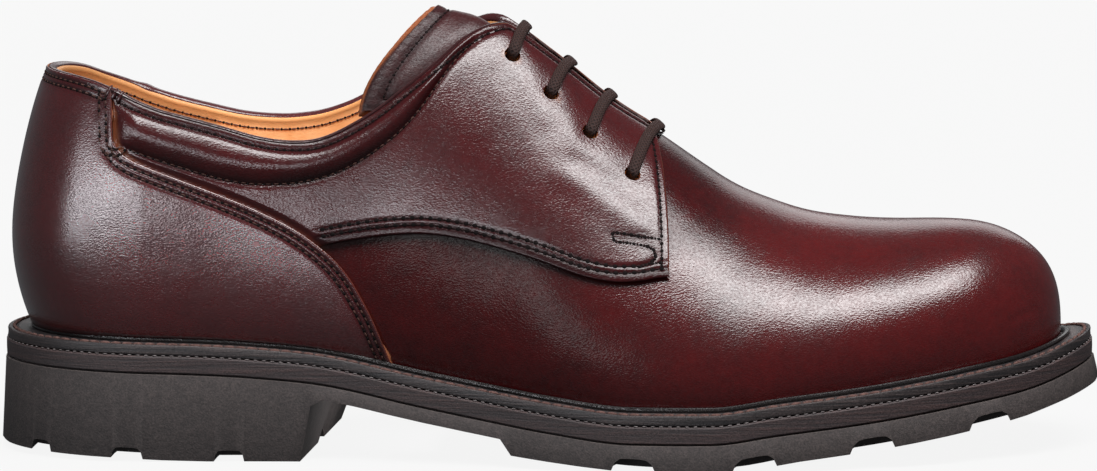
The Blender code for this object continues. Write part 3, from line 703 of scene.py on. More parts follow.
lining_look = tan_look("tan_lining", (0.95, 0.54, 0.26), (0.76, 0.34, 0.12), 0.55)
insole_look = tan_look("tan_insole", (0.62, 0.31, 0.13), (0.48, 0.21, 0.08), 0.6)
raw_look = tan_look("raw_edge", (0.34, 0.105, 0.035), (0.16, 0.045, 0.018), 0.7)
dark_edge_look = tan_look("inked_edge", (0.040, 0.012, 0.011), (0.020, 0.007, 0.007), 0.6)
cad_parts["insole"].material_slots[0].material = insole_look
print("insole keeps its CAD solid with", insole_look.name)

# %% [markdown]
# ## Vamp and lining
# The upper is one skin pulled over the last: smooth burgundy outside, tan lining inside. It could
# be sculpted, but the last already knows its form, so a grid runs from the toe along the outer
# side, round the heel and back along the inner side. Columns stand closer where toe and heel turn.

# %% Vamp and lining
TOE_COLUMNS = 34
HEEL_COLUMNS = 34
SIDE_STEP = 1.6
UPPER_ROWS = 60
UPPER_WALL = 2.2


def heel_places(start_turn, number):
    """Places round the heel, evenly turned."""
    turn = np.linspace(start_turn, np.pi / 2, number)
    return HEEL_AXIS - (HEEL_AXIS - FEATHER_BACK) * np.sin(turn) ** (2 / HEEL_POWER)


def both_sides(places):
    """Sections along the outer side from the toe to the back, then the inner ones back to the toe."""
    sides = np.concatenate([np.full(len(places), OUTER), np.full(len(places) - 1, INNER)])
    return sides, np.concatenate([places, places[-2::-1]])


def filled_in(corners, number):
    """Lengths and heights along the corners of a side-view line, a number of them to each stretch."""
    columns = (corners["x"], corners["z"])
    return [np.concatenate([np.linspace(a, b, number) for a, b in zip(c, c[1:])]) for c in columns]


def polyline(side, corners):
    """Dense points on the last along corners that are given in side view."""
    return last_place(side, *spot_at(side, *filled_in(corners, 30)))


TOE_SCUFF = table("x z", (127.1, 36.5), (130.4, 37.5), (133.6, 38.6))
SCUFF_DEEP = 0.18
SCUFF_WIDE = 1.1
FOOT_PAINTED_SHADE = 0.06
WAIST_PAINTED_SHADE = 0.2
THROAT_PAINTED_SHADE = 0.5
TUCK_PAINTED_SHADE = 0.2
HEEL_GRIP = 0.7

toe_turn = np.linspace(0, np.pi / 2, TOE_COLUMNS)
toe_places = TOE_TOP_START + (FEATHER_TIP - TOE_TOP_START) * np.cos(toe_turn) ** (2 / TOE_TOP_POWER)
side_places = np.arange(TOE_TOP_START - SIDE_STEP, HEEL_AXIS + 0.5, -SIDE_STEP)
upper_places = np.concatenate([toe_places, side_places, heel_places(0, HEEL_COLUMNS)])
upper_sides, upper_sections = both_sides(upper_places)
upper_tops = leather_top(upper_sides, upper_sections)

bm, column, row = flat_sheet(len(upper_sections), UPPER_ROWS + 2)
side = upper_sides[column]
s = upper_sections[column]
t = upper_tops[column] * np.maximum(row - 1, 0) / UPPER_ROWS
points = last_place(side, s, t)
points[row == 0, 2] -= FEATHER_EDGE
x = points[:, 0]
z = points[:, 2]
above_welt = z - feather_height(x)
# Painted shade: the vamp is darkened, with its sheen dimmed, at the welt, low on the waist, at the throat and
# just under the quarter's edge.
at_foot = ease(-above_welt, -11, -1)
at_waist = ease(x, -75, -50) * ease(-x, -45, 5) * ease(-above_welt, -40, -20)
at_throat = ease(-x, -66, -36) * ease(z, 50, 64)
at_tuck = ease(x, -68, -56) * ease(-x, 12, 34) * ease(z, 36, 50)
zones = [FOOT_PAINTED_SHADE * at_foot, WAIST_PAINTED_SHADE * at_waist, THROAT_PAINTED_SHADE * at_throat, TUCK_PAINTED_SHADE * at_tuck]
mark(bm, "burnish_and_shade", np.maximum.reduce(zones))
# The heel grip is a darker leather of its own; just under the rim the lining gets a painted shadow.
under_rim = topline(side, x) - z
mark(bm, "grip_and_rim_shade", np.maximum(HEEL_GRIP * ease(-x, 95.5, 96.5), ease(-under_rim, -2.6, -1.4)))
scuff = away_from(points, polyline(OUTER, TOE_SCUFF))
normals = last_normal(side, s, t)
lay(bm, points + normals * trough(scuff, SCUFF_DEEP, SCUFF_WIDE)[:, None], normals)
vamp = make_piece("vamp_and_lining", bm, [vamp_look, lining_look])
give_wall(vamp, UPPER_WALL, inside=1, rim=1)
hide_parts("upper")
print("vamp and lining:", count(vamp), "triangles")

# %% [markdown]
# ## Seams
# A seam follows an edge at a fixed distance. On a curved sheet that distance is walked along the
# leather: the step across the seam is solved in the sheet's own two directions, so that the line
# stays on the surface. The same lines later carry the stitches.

# %% Lines beside an edge
def beside(side, s, t, distance, toward):
    """The line s, t moved across the leather by a distance, to the side that toward points to."""
    run, climb = steps(side, s, t)
    walk = unit(np.gradient(last_place(side, s, t), axis=0))
    across = np.cross(last_normal(side, s, t), walk)
    if np.mean(across @ np.asarray(toward, float)) < 0:
        across = -across
    a = (run * run).sum(-1)
    b = (run * climb).sum(-1)
    c = (climb * climb).sum(-1)
    p = (across * run).sum(-1) * distance
    q = (across * climb).sum(-1) * distance
    room = a * c - b * b
    return s + (c * p - b * q) / room, t + (a * q - b * p) / room


def paced(side, s, t, pitch):
    """The same line with even paces of about one pitch."""
    points = last_place(side, s, t)
    walked = walked_length(points)
    number = max(int(round(walked[-1] / pitch)), 2)
    stops = np.linspace(0, walked[-1], number + 1)
    return np.interp(stops, walked, s), np.interp(stops, walked, t)


def line_points(side, line, pitch=0.2):
    """Closely spaced points of a line on the last."""
    s, t = paced(side, line[0], line[1], pitch)
    return last_place(side, s, t)


UPWARD = (0, 0, 1)
DOWNWARD = (0, 0, -1)
BACKWARD = (-1, 0, 0)
sample_step = beside(OUTER, np.array([50.0, 49.0]), np.zeros(2), 4, UPWARD)
print("a step of 4 mm above the feather line:", np.round(sample_step, 2))

# %% [markdown]
# ## Quarters
# The two quarters lie over the vamp and are laced together. Each has a cut lower edge with two
# stitch rows, a front edge and a facing with one row, and a padded collar between its roll line
# and the topline. The grid has close rows where the edges, seams and the roll need them.

# %% Lines of a quarter
PANEL_SKIN = 1.6
QUARTER_FRONT = 28.0
QUARTER_BACK = -119.0
FRONT_LEAN = 6.4
FRONT_BLEND = 25.0
COUNTER_LAP = 2.0
ROLL_FRONT = -20.5
ROLL_BACK = -113.5
TAB_SEAM = table(
    "x z",
    (25.8, 52.8), (29.0, 53.8), (30.8, 55.2), (30.2, 57.2), (28.4, 58.2), (24.0, 59.0), (19.5, 59.6),
    (18.9, 62.0), (22.4, 61.5), (27.6, 60.4), (32.2, 59.7),
)
FOOT_SEAM_LOW = 2.5
FOOT_SEAM_HIGH = 4.3
FRONT_SEAM = 2.0
TOP_SEAM = 2.2
FRONT_POINTS = 60
FACING_POINTS = 140


def roll_line(x):
    """Height of the stitch line under the collar roll."""
    return along(ROLL_LINE, "z", x)


def counter_line(x):
    """Height of the counter's edge."""
    return along(COUNTER_EDGE, "z", x)


def quarter_line(x):
    """Lower edge of a quarter: its own at the front, then hidden under the counter."""
    own = along(QUARTER_EDGE, "z", x)
    return np.where(x > -50, own, np.maximum(own, counter_line(x) - COUNTER_LAP))


def front_lean(place, share):
    """The front edge leans: its foot is further forward than its top."""
    near = np.clip(1 - (QUARTER_FRONT - place) / FRONT_BLEND, 0, 1) ** 1.5
    return place + FRONT_LEAN * (1 - share ** 1.8) * near


def quarter_climb(side, s, share):
    """Climb of a point that is a share of the way up a quarter."""
    low = climb_to(side, s, quarter_line)
    high = leather_top(side, np.minimum(s, QUARTER_FRONT - 0.01))
    return low + (high - low) * share


def quarter_lines(side):
    """Edges and seams of one quarter as lines on the last."""
    foot_s = np.linspace(QUARTER_FRONT + FRONT_LEAN - 0.4, -60.5, 240)
    foot = foot_s, climb_to(side, foot_s, quarter_line)
    share = np.linspace(0.035, 1, FRONT_POINTS)
    front_s = front_lean(np.full(FRONT_POINTS, QUARTER_FRONT), share)
    front = front_s, quarter_climb(side, front_s, share)
    top_s = np.concatenate([np.linspace(29.5, -16, FACING_POINTS), np.linspace(-16.5, -116.5, 240)])
    top_t = leather_top(side, top_s)
    roll_x = np.linspace(ROLL_FRONT, ROLL_BACK, 200)
    tab_x, tab_z = filled_in(TAB_SEAM, 12)
    return {
        "foot_edge": foot,
        "front_edge": front,
        "top_edge": (top_s, top_t),
        "foot_seam_low": beside(side, *foot, FOOT_SEAM_LOW, UPWARD),
        "foot_seam_high": beside(side, *foot, FOOT_SEAM_HIGH, UPWARD),
        "front_seam": beside(side, *front, FRONT_SEAM, BACKWARD),
        "facing_seam": beside(side, top_s[:FACING_POINTS], top_t[:FACING_POINTS], TOP_SEAM, DOWNWARD),
        "collar_seam": beside(side, top_s[FACING_POINTS:], top_t[FACING_POINTS:], TOP_SEAM, DOWNWARD),
        "roll_seam": spot_at(side, roll_x, roll_line(roll_x)),
        "tab_seam": (tab_x, climb_to(side, tab_x, lambda _: tab_z)),
    }


quarter_paths = {side: quarter_lines(side) for side in SIDES}
print("lines of a quarter:", ", ".join(quarter_paths[OUTER]))

# %% Form of a quarter
PAD_RISE = 2.0
FLEX_RIDGE = table("x z", (4.5, 77.7), (15.3, 70.3), (26.2, 63.2))
FLEX_TROUGH = table("x z", (8.4, 80.5), (18.5, 75.0), (26.0, 70.0))
FACING_TROUGH = table("x z", (-11.3, 104.4), (-6.8, 96.6), (-1.1, 87.4))
CREASES = ((FLEX_RIDGE, -0.35, 3.2), (FLEX_TROUGH, 0.30, 2.6), (FACING_TROUGH, 0.22, 3.0))
SEAM_PRESS = {
    "foot_seam_low": (0.20, 0.6),
    "foot_seam_high": (0.20, 0.6),
    "front_seam": (0.26, 0.6),
    "facing_seam": (0.30, 0.7),
    "collar_seam": (0.55, 0.8),
    "roll_seam": (0.32, 0.8),
    "tab_seam": (0.24, 0.55),
}
EYELET_PRESS = (0.35, 3.4)
TUCKED_SKIN = 0.85
TUCK_WIDE = 2.4
CUT_EDGE_ROUND = 0.55
TOP_EDGE_ROUND = 0.5
FOOT_DARK = 0.55
SEAM_DARK = 0.4
TOP_DARK = 0.3
# Painted shade on the padded roll, which dims its highlight.
PAD_PAINTED_SHADE = 0.06
COUNTER_RAW = 0.8
HOLE_RAW = 0.8
FRONT_RAW_AND_HIGHLIGHT = 0.35
FACING_RAW_AND_HIGHLIGHT = 0.55
FOOT_ROWS = 20
PLAIN_ROWS = 30
ROLL_ROWS = 8
COLLAR_ROWS = 24
FOOT_ZONE = 6.0
ROLL_ZONE = 1.5


def quarter_rows(side, places):
    """Share of the height for each row of each column, closer at edge, roll line and collar."""
    low = climb_to(side, places, quarter_line)
    high = leather_top(side, np.minimum(places, QUARTER_FRONT - 0.01))
    climb = low[:, None] + (high - low)[:, None] * np.linspace(0, 1, 33)
    tall = np.linalg.norm(np.diff(last_place(side, places[:, None], climb), axis=1), axis=2).sum(1)
    roll = climb_to(side, places, roll_line)
    roll_gap = np.clip(tall * (high - roll) / (high - low), 4, 0.7 * tall)
    foot_end = np.minimum(FOOT_ZONE, 0.2 * tall)
    roll_low = np.maximum(tall - roll_gap - ROLL_ZONE, foot_end + 0.02 * tall)
    roll_high = np.maximum(tall - roll_gap + ROLL_ZONE, roll_low + 0.02 * tall)
    part = [
        foot_end[:, None] * (np.arange(FOOT_ROWS) / FOOT_ROWS) ** 1.4,
        foot_end[:, None] + (roll_low - foot_end)[:, None] * np.arange(PLAIN_ROWS) / PLAIN_ROWS,
        roll_low[:, None] + (roll_high - roll_low)[:, None] * np.arange(ROLL_ROWS) / ROLL_ROWS,
        tall[:, None] - (tall - roll_high)[:, None] * (1 - np.arange(COLLAR_ROWS + 1) / COLLAR_ROWS) ** 1.4,
    ]
    return np.concatenate(part, axis=1) / tall[:, None]


def pad_lift(side, points):
    """Padding of the collar: a roll between its stitch line and the topline."""
    x = points[:, 0]
    low = roll_line(x)
    share = np.clip((points[:, 2] - low) / (topline(side, x) - low), 0, 1)
    fade = np.clip((-18 - x) / 14, 0, 1) * np.clip((x + 117) / 6, 0, 1)
    return PAD_RISE * fade * np.sin(np.pi * share ** 0.85) ** 1.3


def eyelet_spots(side):
    """Centre, way out and climb of each eyelet."""
    s = EYELETS["x"]
    z = EYELETS["z"]
    t = climb_to(side, s, lambda _: z)
    return last_place(side, s, t), last_normal(side, s, t), t


def quarter_form(side, points):
    """Lift of a quarter's skin above the last, how dark its burnish and painted shade are, and where raw tan
    or a painted edge highlight shows.
    """
    gap = {name: away_from(points, line_points(side, line)) for name, line in quarter_paths[side].items()}
    counter_x = np.linspace(-117.4, -52, 400)
    counter = spot_at(side, counter_x, counter_line(counter_x))
    from_counter = away_from(points, line_points(side, counter))
    from_counter = np.where(points[:, 2] > counter_line(points[:, 0]), from_counter, -from_counter)
    hole = away_from(points, eyelet_spots(side)[0])
    lift = PANEL_SKIN + pad_lift(side, points) + trough(hole, *EYELET_PRESS)
    for name, press in SEAM_PRESS.items():
        lift = lift + trough(gap[name], *press)
    for crease, deep, wide in CREASES:
        lift = lift + trough(away_from(points, polyline(side, crease)), deep, wide)
    edge = np.minimum(gap["foot_edge"], gap["front_edge"])
    lift = lift + edge_round(edge, CUT_EDGE_ROUND) + edge_round(gap["top_edge"], TOP_EDGE_ROUND)
    under_counter = TUCKED_SKIN + (lift - TUCKED_SKIN) * ease(from_counter, 0.0, TUCK_WIDE)
    lift = np.where(from_counter < TUCK_WIDE, under_counter, lift)
    seam = np.minimum.reduce([gap[name] for name in SEAM_PRESS])
    dark = FOOT_DARK * np.exp(-(gap["foot_edge"] / 3.2) ** 4) + SEAM_DARK * np.exp(-(seam / 0.9) ** 2)
    dark = dark + TOP_DARK * np.exp(-(gap["top_edge"] / 2.0) ** 2) + PAD_PAINTED_SHADE * pad_lift(side, points)
    at_back = 0.15 + 0.85 * ease(-points[:, 0], 106, 117)
    at_facing = ease(points[:, 0], -17, -13)
    raw_and_highlight = COUNTER_RAW * at_back * ease(-from_counter, -0.5 - 1.2 * at_back, -0.1 - at_back)
    # Raw tan along the front edge and the facing's edge, partly a painted highlight of the cut edge.
    raw_and_highlight = raw_and_highlight + HOLE_RAW * ease(-hole, -2.75, -2.35) + FRONT_RAW_AND_HIGHLIGHT * ease(-gap["front_edge"], -0.5, -0.2)
    raw_and_highlight = raw_and_highlight + FACING_RAW_AND_HIGHLIGHT * at_facing * ease(-gap["top_edge"], -0.7, -0.3)
    return lift, np.clip(dark, 0, 0.8), np.clip(raw_and_highlight, 0, 1)


print("eyelets on the outer facing:", np.round(eyelet_spots(OUTER)[0], 1).tolist())

# %% [markdown]
# Holes are punched with a boolean: the cones of a side, wider outwards, are joined as one punch. It
# carries the look number of the raw edge, so each hole gets its tan ring. The modifiers are applied
# at once, which lets the punch be thrown away.

# %% Make the quarters and punch the eyelets
EYELET_RADIUS = 2.05
EYELET_FLARE = 1.3
PUNCH_LONG = 14.0
QUARTER_WALL = 1.0
QUARTER_STEP = 1.2
FRONT_NEAR = np.array([0, 0.15, 0.35, 0.6, 0.9, 1.25, 1.6, 2.0, 2.4, 2.8, 3.3, 4.0, 4.9])


def punch_eyelets(piece, sides, raw_slot):
    """Cut the eyelets of the given sides out of a piece and apply its modifiers."""
    bm = bmesh.new()
    for side in sides:
        centres, normals, _ = eyelet_spots(side)
        for centre, normal in zip(placed(centres), normals):
            spin = Vector(normal).to_track_quat("Z", "Y").to_matrix().to_4x4()
            bmesh.ops.create_cone(
                bm, cap_ends=True, segments=28, depth=PUNCH_LONG * MM,
                radius1=(EYELET_RADIUS - EYELET_FLARE) * MM, radius2=(EYELET_RADIUS + EYELET_FLARE) * MM,
                matrix=Matrix.Translation(Vector(centre)) @ spin,
            )
    for face in bm.faces:
        face.material_index = raw_slot
    mesh = mesh_from("punch", bm)
    for _ in range(raw_slot + 1):
        mesh.materials.append(raw_look)
    punch = bpy.data.objects.new("punch", mesh)
    scene.collection.objects.link(punch)
    cut = piece.modifiers.new("eyelets", "BOOLEAN")
    cut.operation = "DIFFERENCE"
    cut.solver = "EXACT"
    cut.material_mode = "INDEX"
    cut.object = punch
    done = bpy.data.meshes.new_from_object(piece.evaluated_get(bpy.context.evaluated_depsgraph_get()))
    piece.modifiers.clear()
    piece.data = done
    bpy.data.objects.remove(punch, do_unlink=True)


def make_quarter(name, side):
    """Quarter of one side, with its columns closest at the front edge."""
    plain_places = np.arange(QUARTER_FRONT - 6.0, QUARTER_BACK, -QUARTER_STEP)
    places = np.concatenate([QUARTER_FRONT - FRONT_NEAR, plain_places])
    shares = quarter_rows(side, places)
    bm, column, row = flat_sheet(*shares.shape)
    share = shares[column, row]
    s = front_lean(places[column], share)
    t = quarter_climb(np.full_like(s, side), s, share)
    points = last_place(side, s, t)
    normals = last_normal(side, s, t)
    lift, dark, raw_and_highlight = quarter_form(side, points)
    mark(bm, "burnish_and_shade", dark)
    mark(bm, "raw_and_highlight", raw_and_highlight)
    lay(bm, points + normals * lift[:, None], normals)
    piece = make_piece(name, bm, [quarter_look, dark_edge_look, raw_look])
    give_wall(piece, QUARTER_WALL, inside=1, rim=1)
    punch_eyelets(piece, [side], 2)
    return piece


quarter_outer = make_quarter("quarter_outer", OUTER)
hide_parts("quarter_lateral")
quarter_inner = make_quarter("quarter_inner", INNER)
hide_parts("quarter_medial")
punch_eyelets(vamp, [OUTER, INNER], 1)
print("quarters:", count(quarter_outer), "and", count(quarter_inner), "triangles")

# %% [markdown]
# ## Heel counter
# The counter wraps the heel from one side to the other. Its front edge falls from the topline to
# the welt and is left raw, so it shows as a tan line. Columns run from the foot to that edge, and
# rows stand close to it, where two seams press the leather in.

# %% Heel counter
COUNTER_SKIN = 2.1
COUNTER_LOW_SKIN = 1.25
COUNTER_WALL = 1.1
COUNTER_TIP = -41.0
COUNTER_TOP = -117.6
COUNTER_FOOT = 1.5
FAN_START = -100.0
FAN_FOOT = -122.0
COUNTER_PITCH = 1.3
COUNTER_NEAR = np.array(
    [0, 0.15, 0.35, 0.6, 0.9, 1.25, 1.6, 1.95, 2.3, 2.7, 3.1, 3.5, 3.9, 4.3, 4.8, 5.5, 6.5]
)
COUNTER_PLAIN_ROWS = 40
COUNTER_BEND = -112.0
COUNTER_SEAMS = {"seam_near": 1.7, "seam_far": 3.5}
COUNTER_PRESS = 0.34
COUNTER_PRESS_WIDE = 0.62
COUNTER_EDGE_ROUND = 0.45
HEEL_BULGE = 1.3
BULGE_HEIGHT = 56
BULGE_SPREAD = 20
INTO_COUNTER = (-0.5, 0, -1)


def heel_turn(s):
    """How far round the heel a section stands, as an angle."""
    share = np.clip((HEEL_AXIS - s) / (HEEL_AXIS - FEATHER_BACK), 0, 1)
    return np.arcsin(share ** (HEEL_POWER / 2))


def counter_edge(side):
    """Edge of the counter from its front tip up to the topline and round to the back."""
    low_x = np.linspace(COUNTER_TIP, COUNTER_BEND, 200)
    steep_x = np.linspace(COUNTER_BEND - 0.1, COUNTER_TOP + 0.2, 200)
    front_x = np.concatenate([low_x, steep_x])
    front_s, front_t = spot_at(side, front_x, counter_line(front_x))
    corner_s, _ = spot_at(side, np.array([COUNTER_TOP]), topline(np.full(1, side), np.array([COUNTER_TOP])))
    back_s = heel_places(heel_turn(corner_s[0]), 60)
    back_t = leather_top(np.full_like(back_s, side), back_s)
    return np.concatenate([front_s, back_s]), np.concatenate([front_t, back_t]), len(front_s)


def counter_foot(side, edge_s, edge_t, corner):
    """Foot of each column: below its edge at the front, spread under the steep rise, even at the back."""
    walked = walked_length(last_place(side, edge_s, edge_t))
    fan = int(np.argmax(edge_s < FAN_START))
    foot = edge_s.copy()
    spread = (walked[fan:corner] - walked[fan]) / (walked[corner] - walked[fan])
    foot[fan:corner] = FAN_START + (FAN_FOOT - FAN_START) * spread
    first = heel_turn(np.array([FAN_FOOT]))[0]
    done = (walked[corner:] - walked[corner]) / (walked[-1] - walked[corner])
    turn = first + (np.pi / 2 - first) * done
    foot[corner:] = HEEL_AXIS - (HEEL_AXIS - FEATHER_BACK) * np.sin(turn) ** (2 / HEEL_POWER)
    return foot


def counter_columns(side):
    """Section and climb of each column's edge, and the section of its foot, evenly spaced."""
    edge_s, edge_t, corner = counter_edge(side)
    foot_s = counter_foot(side, edge_s, edge_t, corner)
    points = last_place(side, edge_s, edge_t)
    walked = walked_length(points)
    stops = np.linspace(0, walked[-1], int(walked[-1] / COUNTER_PITCH))
    return [np.interp(stops, walked, values) for values in (edge_s, edge_t, foot_s)]


outer_columns = counter_columns(OUTER)
inner_columns = counter_columns(INNER)
counter_sides = np.repeat([OUTER, INNER], [len(outer_columns[0]), len(inner_columns[0]) - 1])
edge_s, edge_t, foot_s = (np.concatenate([o, i[-2::-1]]) for o, i in zip(outer_columns, inner_columns))
foot_z = feather_height(feather_line(counter_sides, foot_s)[0][..., 0]) + COUNTER_FOOT
foot_t = climb_to(counter_sides, foot_s, lambda _: foot_z)
edge_points = last_place(counter_sides, edge_s, edge_t)
tall = np.linalg.norm(edge_points - last_place(counter_sides, foot_s, foot_t), axis=1)
near = COUNTER_NEAR[None] * np.minimum(1, 0.6 * tall / COUNTER_NEAR[-1])[:, None]
plain_share = np.arange(1, COUNTER_PLAIN_ROWS + 1) / COUNTER_PLAIN_ROWS
plain = near[:, -1:] + (tall[:, None] - near[:, -1:]) * plain_share
down = np.concatenate([near, plain], axis=1) / np.maximum(tall, 0.01)[:, None]

bm, column, row = flat_sheet(*down.shape)
share = down[column, row]
side = counter_sides[column]
s = edge_s[column] + (foot_s - edge_s)[column] * share
t = edge_t[column] + (foot_t - edge_t)[column] * share
points = last_place(side, s, t)
normals = last_normal(side, s, t)


def counter_lines(side):
    """Edge and seams of the counter on one side."""
    s, t, _ = counter_edge(side)
    lines = {name: beside(side, s, t, inset, INTO_COUNTER) for name, inset in COUNTER_SEAMS.items()}
    return {"edge": (s, t), **lines}


counter_paths = {side: counter_lines(side) for side in SIDES}


def from_counter_line(name, points):
    """Distance from one line of the counter, whichever side is nearer."""
    lines = [line_points(side, counter_paths[side][name]) for side in SIDES]
    return np.minimum(*(away_from(points, line) for line in lines))


def counter_skin(x):
    """Height of the counter's skin above the last: thinner towards its front tip."""
    return COUNTER_LOW_SKIN + (COUNTER_SKIN - COUNTER_LOW_SKIN) * ease(-x, 44, 62)


edge_gap = from_counter_line("edge", points)
seam_gap = np.minimum.reduce([from_counter_line(name, points) for name in COUNTER_SEAMS])
bulge = HEEL_BULGE * np.exp(-((points[:, 2] - BULGE_HEIGHT) / BULGE_SPREAD) ** 2)
bulge = bulge * ease(-points[:, 0], 112, 138)
lift = counter_skin(points[:, 0]) + bulge + trough(seam_gap, COUNTER_PRESS, COUNTER_PRESS_WIDE)
lift = lift + edge_round(edge_gap, COUNTER_EDGE_ROUND)
above_welt = points[:, 2] - feather_height(points[:, 0])
dark = 0.45 * np.exp(-(seam_gap / 1.1) ** 2) + 0.1 * ease(-above_welt, -10, -2)
mark(bm, "burnish_and_shade", np.clip(dark, 0, 0.8))
front_part = ease(points[:, 0], -118.5, -117.6)
mark(bm, "raw_and_highlight", 0.25 * front_part * ease(-edge_gap, -0.4, -0.1))
lay(bm, points + normals * lift[:, None], normals)
counter = make_piece("heel_counter_leather", bm, [counter_look, dark_edge_look, raw_look])
give_wall(counter, COUNTER_WALL, inside=1, rim=2)
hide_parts("heel_counter")
print("counter:", count(counter), "triangles")

# %% [markdown]
# ## Tongue
# The tongue lies under the facings and rises above them, padded, with a stitched border that is
# gathered into fine pleats and a tan back. Its rows are measured along the leather from the ridge,
# as a cutter would measure them, and its free end slants back.

# %% Tongue
TONGUE_TOP = -31.0
TONGUE_FOOT = 38.0
TONGUE_HALF_FOOT = 20.0
TONGUE_HALF_TOP = 46.0
TONGUE_BACK = 20.0
TONGUE_DROP = 32.0
TONGUE_DEPTH = 3.0
TONGUE_SUNK = 4.4
TONGUE_WALL = 1.9
TONGUE_BORDER = 5.2
TONGUE_LINING = 0.9
TONGUE_COLUMNS = 70
TONGUE_ROWS = 91
CLOSER_AT_EDGE = 1.25
ARC_POINTS = 121
SETTLING_ROUNDS = 5
PLEAT_PITCH = 2.1
PLEAT_DEEP = 0.16
TONGUE_RIM = 0.05
TONGUE_PRESS = (0.5, 0.8)
TONGUE_EDGE_ROUND = 0.6
TONGUE_SWELL = 0.5
LINING_STEP = 0.7
RISING_POINTS = 80
OVER_POINTS = 90


def tongue_back(run, drop):
    """How far the tongue's rows sweep back when they have dropped below the ridge."""
    return TONGUE_BACK * run * np.sin(np.pi / 2 * np.clip(drop / TONGUE_DROP, 0, 1))


def climb_at_arc(side, s, arc):
    """How far up a section the point lies that is an arc away from the ridge."""
    climb = np.linspace(1, 0, ARC_POINTS)
    points = last_place(side[:, None], s[:, None], climb[None])
    walked = np.cumsum(np.linalg.norm(np.diff(points, axis=1), axis=2), axis=1)
    walked = np.concatenate([np.zeros((len(s), 1)), walked], axis=1)
    after = np.clip((walked < arc[:, None]).sum(1), 1, ARC_POINTS - 1)
    rows = np.arange(len(s))
    part = (arc - walked[rows, after - 1]) / np.maximum(walked[rows, after] - walked[rows, after - 1], 1e-9)
    return climb[after - 1] + (climb[after] - climb[after - 1]) * np.clip(part, 0, 1)


def tongue_half(run):
    """Half the tongue's width, measured along the leather."""
    return TONGUE_HALF_FOOT + (TONGUE_HALF_TOP - TONGUE_HALF_FOOT) * run


def tongue_spot(run, across):
    """Side, section and climb of points of the tongue: run from foot to top, across from edge to edge."""
    side = np.where(across < 0, OUTER, INNER)
    ridge_x = TONGUE_FOOT + (TONGUE_TOP - TONGUE_FOOT) * run
    ridge_z = last_place(OUTER, ridge_x, 1.0)[:, 2]
    s = ridge_x.copy()
    for _ in range(SETTLING_ROUNDS):
        t = climb_at_arc(side, s, tongue_half(run) * np.abs(across))
        s = ridge_x - tongue_back(run, ridge_z - last_place(side, s, t)[:, 2])
    return side, s, t


bm, column, row = flat_sheet(TONGUE_COLUMNS, TONGUE_ROWS)
run = 1 - (1 - column / (TONGUE_COLUMNS - 1)) ** CLOSER_AT_EDGE
across = 2 * row / (TONGUE_ROWS - 1) - 1
across = np.sign(across) * (1 - (1 - np.abs(across)) ** CLOSER_AT_EDGE)
side, s, t = tongue_spot(run, across)
points = last_place(side, s, t)
normals = last_normal(side, s, t)


def border_line(inset):
    """Line at a distance inside the free border of the tongue, up one side, over and down the other."""
    tall = walked_length(points[row == TONGUE_ROWS // 2])[-1]
    last_run = 1 - inset / tall
    rising = np.linspace(0.15, last_run, RISING_POINTS)
    runs = np.concatenate([rising, np.full(OVER_POINTS, last_run), rising[::-1]])
    edge = 1 - inset / tongue_half(runs)
    top = edge[RISING_POINTS]
    over = np.concatenate([-edge[:RISING_POINTS], np.linspace(-top, top, OVER_POINTS), edge[-RISING_POINTS:]])
    return tongue_spot(runs, over)


def filled_path(path, parts):
    """Points of a path with each step cut into parts, in no order along it."""
    return np.concatenate([path[:-1] + np.diff(path, axis=0) * k / parts for k in range(parts)])


def tongue_depth(s, t, side):
    """The tongue sinks under the facings, where the lace runs, and rises where it is free."""
    z = last_place(side, s, t)[..., 2]
    free = ease(z - topline(side, s), -3.0, 6.0)
    return -(TONGUE_SUNK + (TONGUE_DEPTH - TONGUE_SUNK) * free)


seam_side, seam_s, seam_t = border_line(TONGUE_BORDER)
seam_points = last_place(seam_side, seam_s, seam_t)
border_points = last_place(*border_line(TONGUE_RIM))
seam_gap = away_from(points, filled_path(seam_points, 6))
border_gap = away_from(points, filled_path(border_points, 8))
in_border = ease(-border_gap, -TONGUE_BORDER, -1.2)
pleats = PLEAT_DEEP * np.sin(2 * np.pi * points[:, 2] / PLEAT_PITCH) * in_border
lift = tongue_depth(s, t, side) + trough(seam_gap, *TONGUE_PRESS) + edge_round(border_gap, TONGUE_EDGE_ROUND)
lift = lift + pleats + TONGUE_SWELL * ease(border_gap, TONGUE_BORDER, 14)
lift = lift - LINING_STEP * ease(-border_gap, -TONGUE_LINING - 0.25, -TONGUE_LINING + 0.1)
mark(bm, "raw_and_highlight", ease(-border_gap, -TONGUE_LINING - 0.1, -TONGUE_LINING + 0.1))
dark = 0.25 + 0.4 * np.exp(-(seam_gap / 1.2) ** 2) + 0.3 * ease(-border_gap, -4, -0.5)
mark(bm, "burnish_and_shade", np.clip(dark, 0, 0.7))
lay(bm, points + normals * lift[:, None], normals)
tongue = make_piece("padded_tongue", bm, [tongue_look, lining_look, raw_look])
give_wall(tongue, TONGUE_WALL, inside=1, rim=2)
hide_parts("tongue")
print("tongue:", count(tongue), "triangles")

# %% [markdown]
# ## Piping of the topline
# A folded strip closes the top edge over leather and lining. It could be a bevelled curve, but a
# grid rolled into a tube gives full control of its oval section, which thickens where the counter
# meets the quarter and gets thin towards the facing.

# %% Piping
PIPING_HALF_WIDE = 1.5
PIPING_HALF_TALL = 0.75
PIPING_LIFT = 0.35
PIPING_FRONT = -4.0
RIM_STEP = 1.4
TACK_PLACE = -117.0
TUBE_SIDES = 14


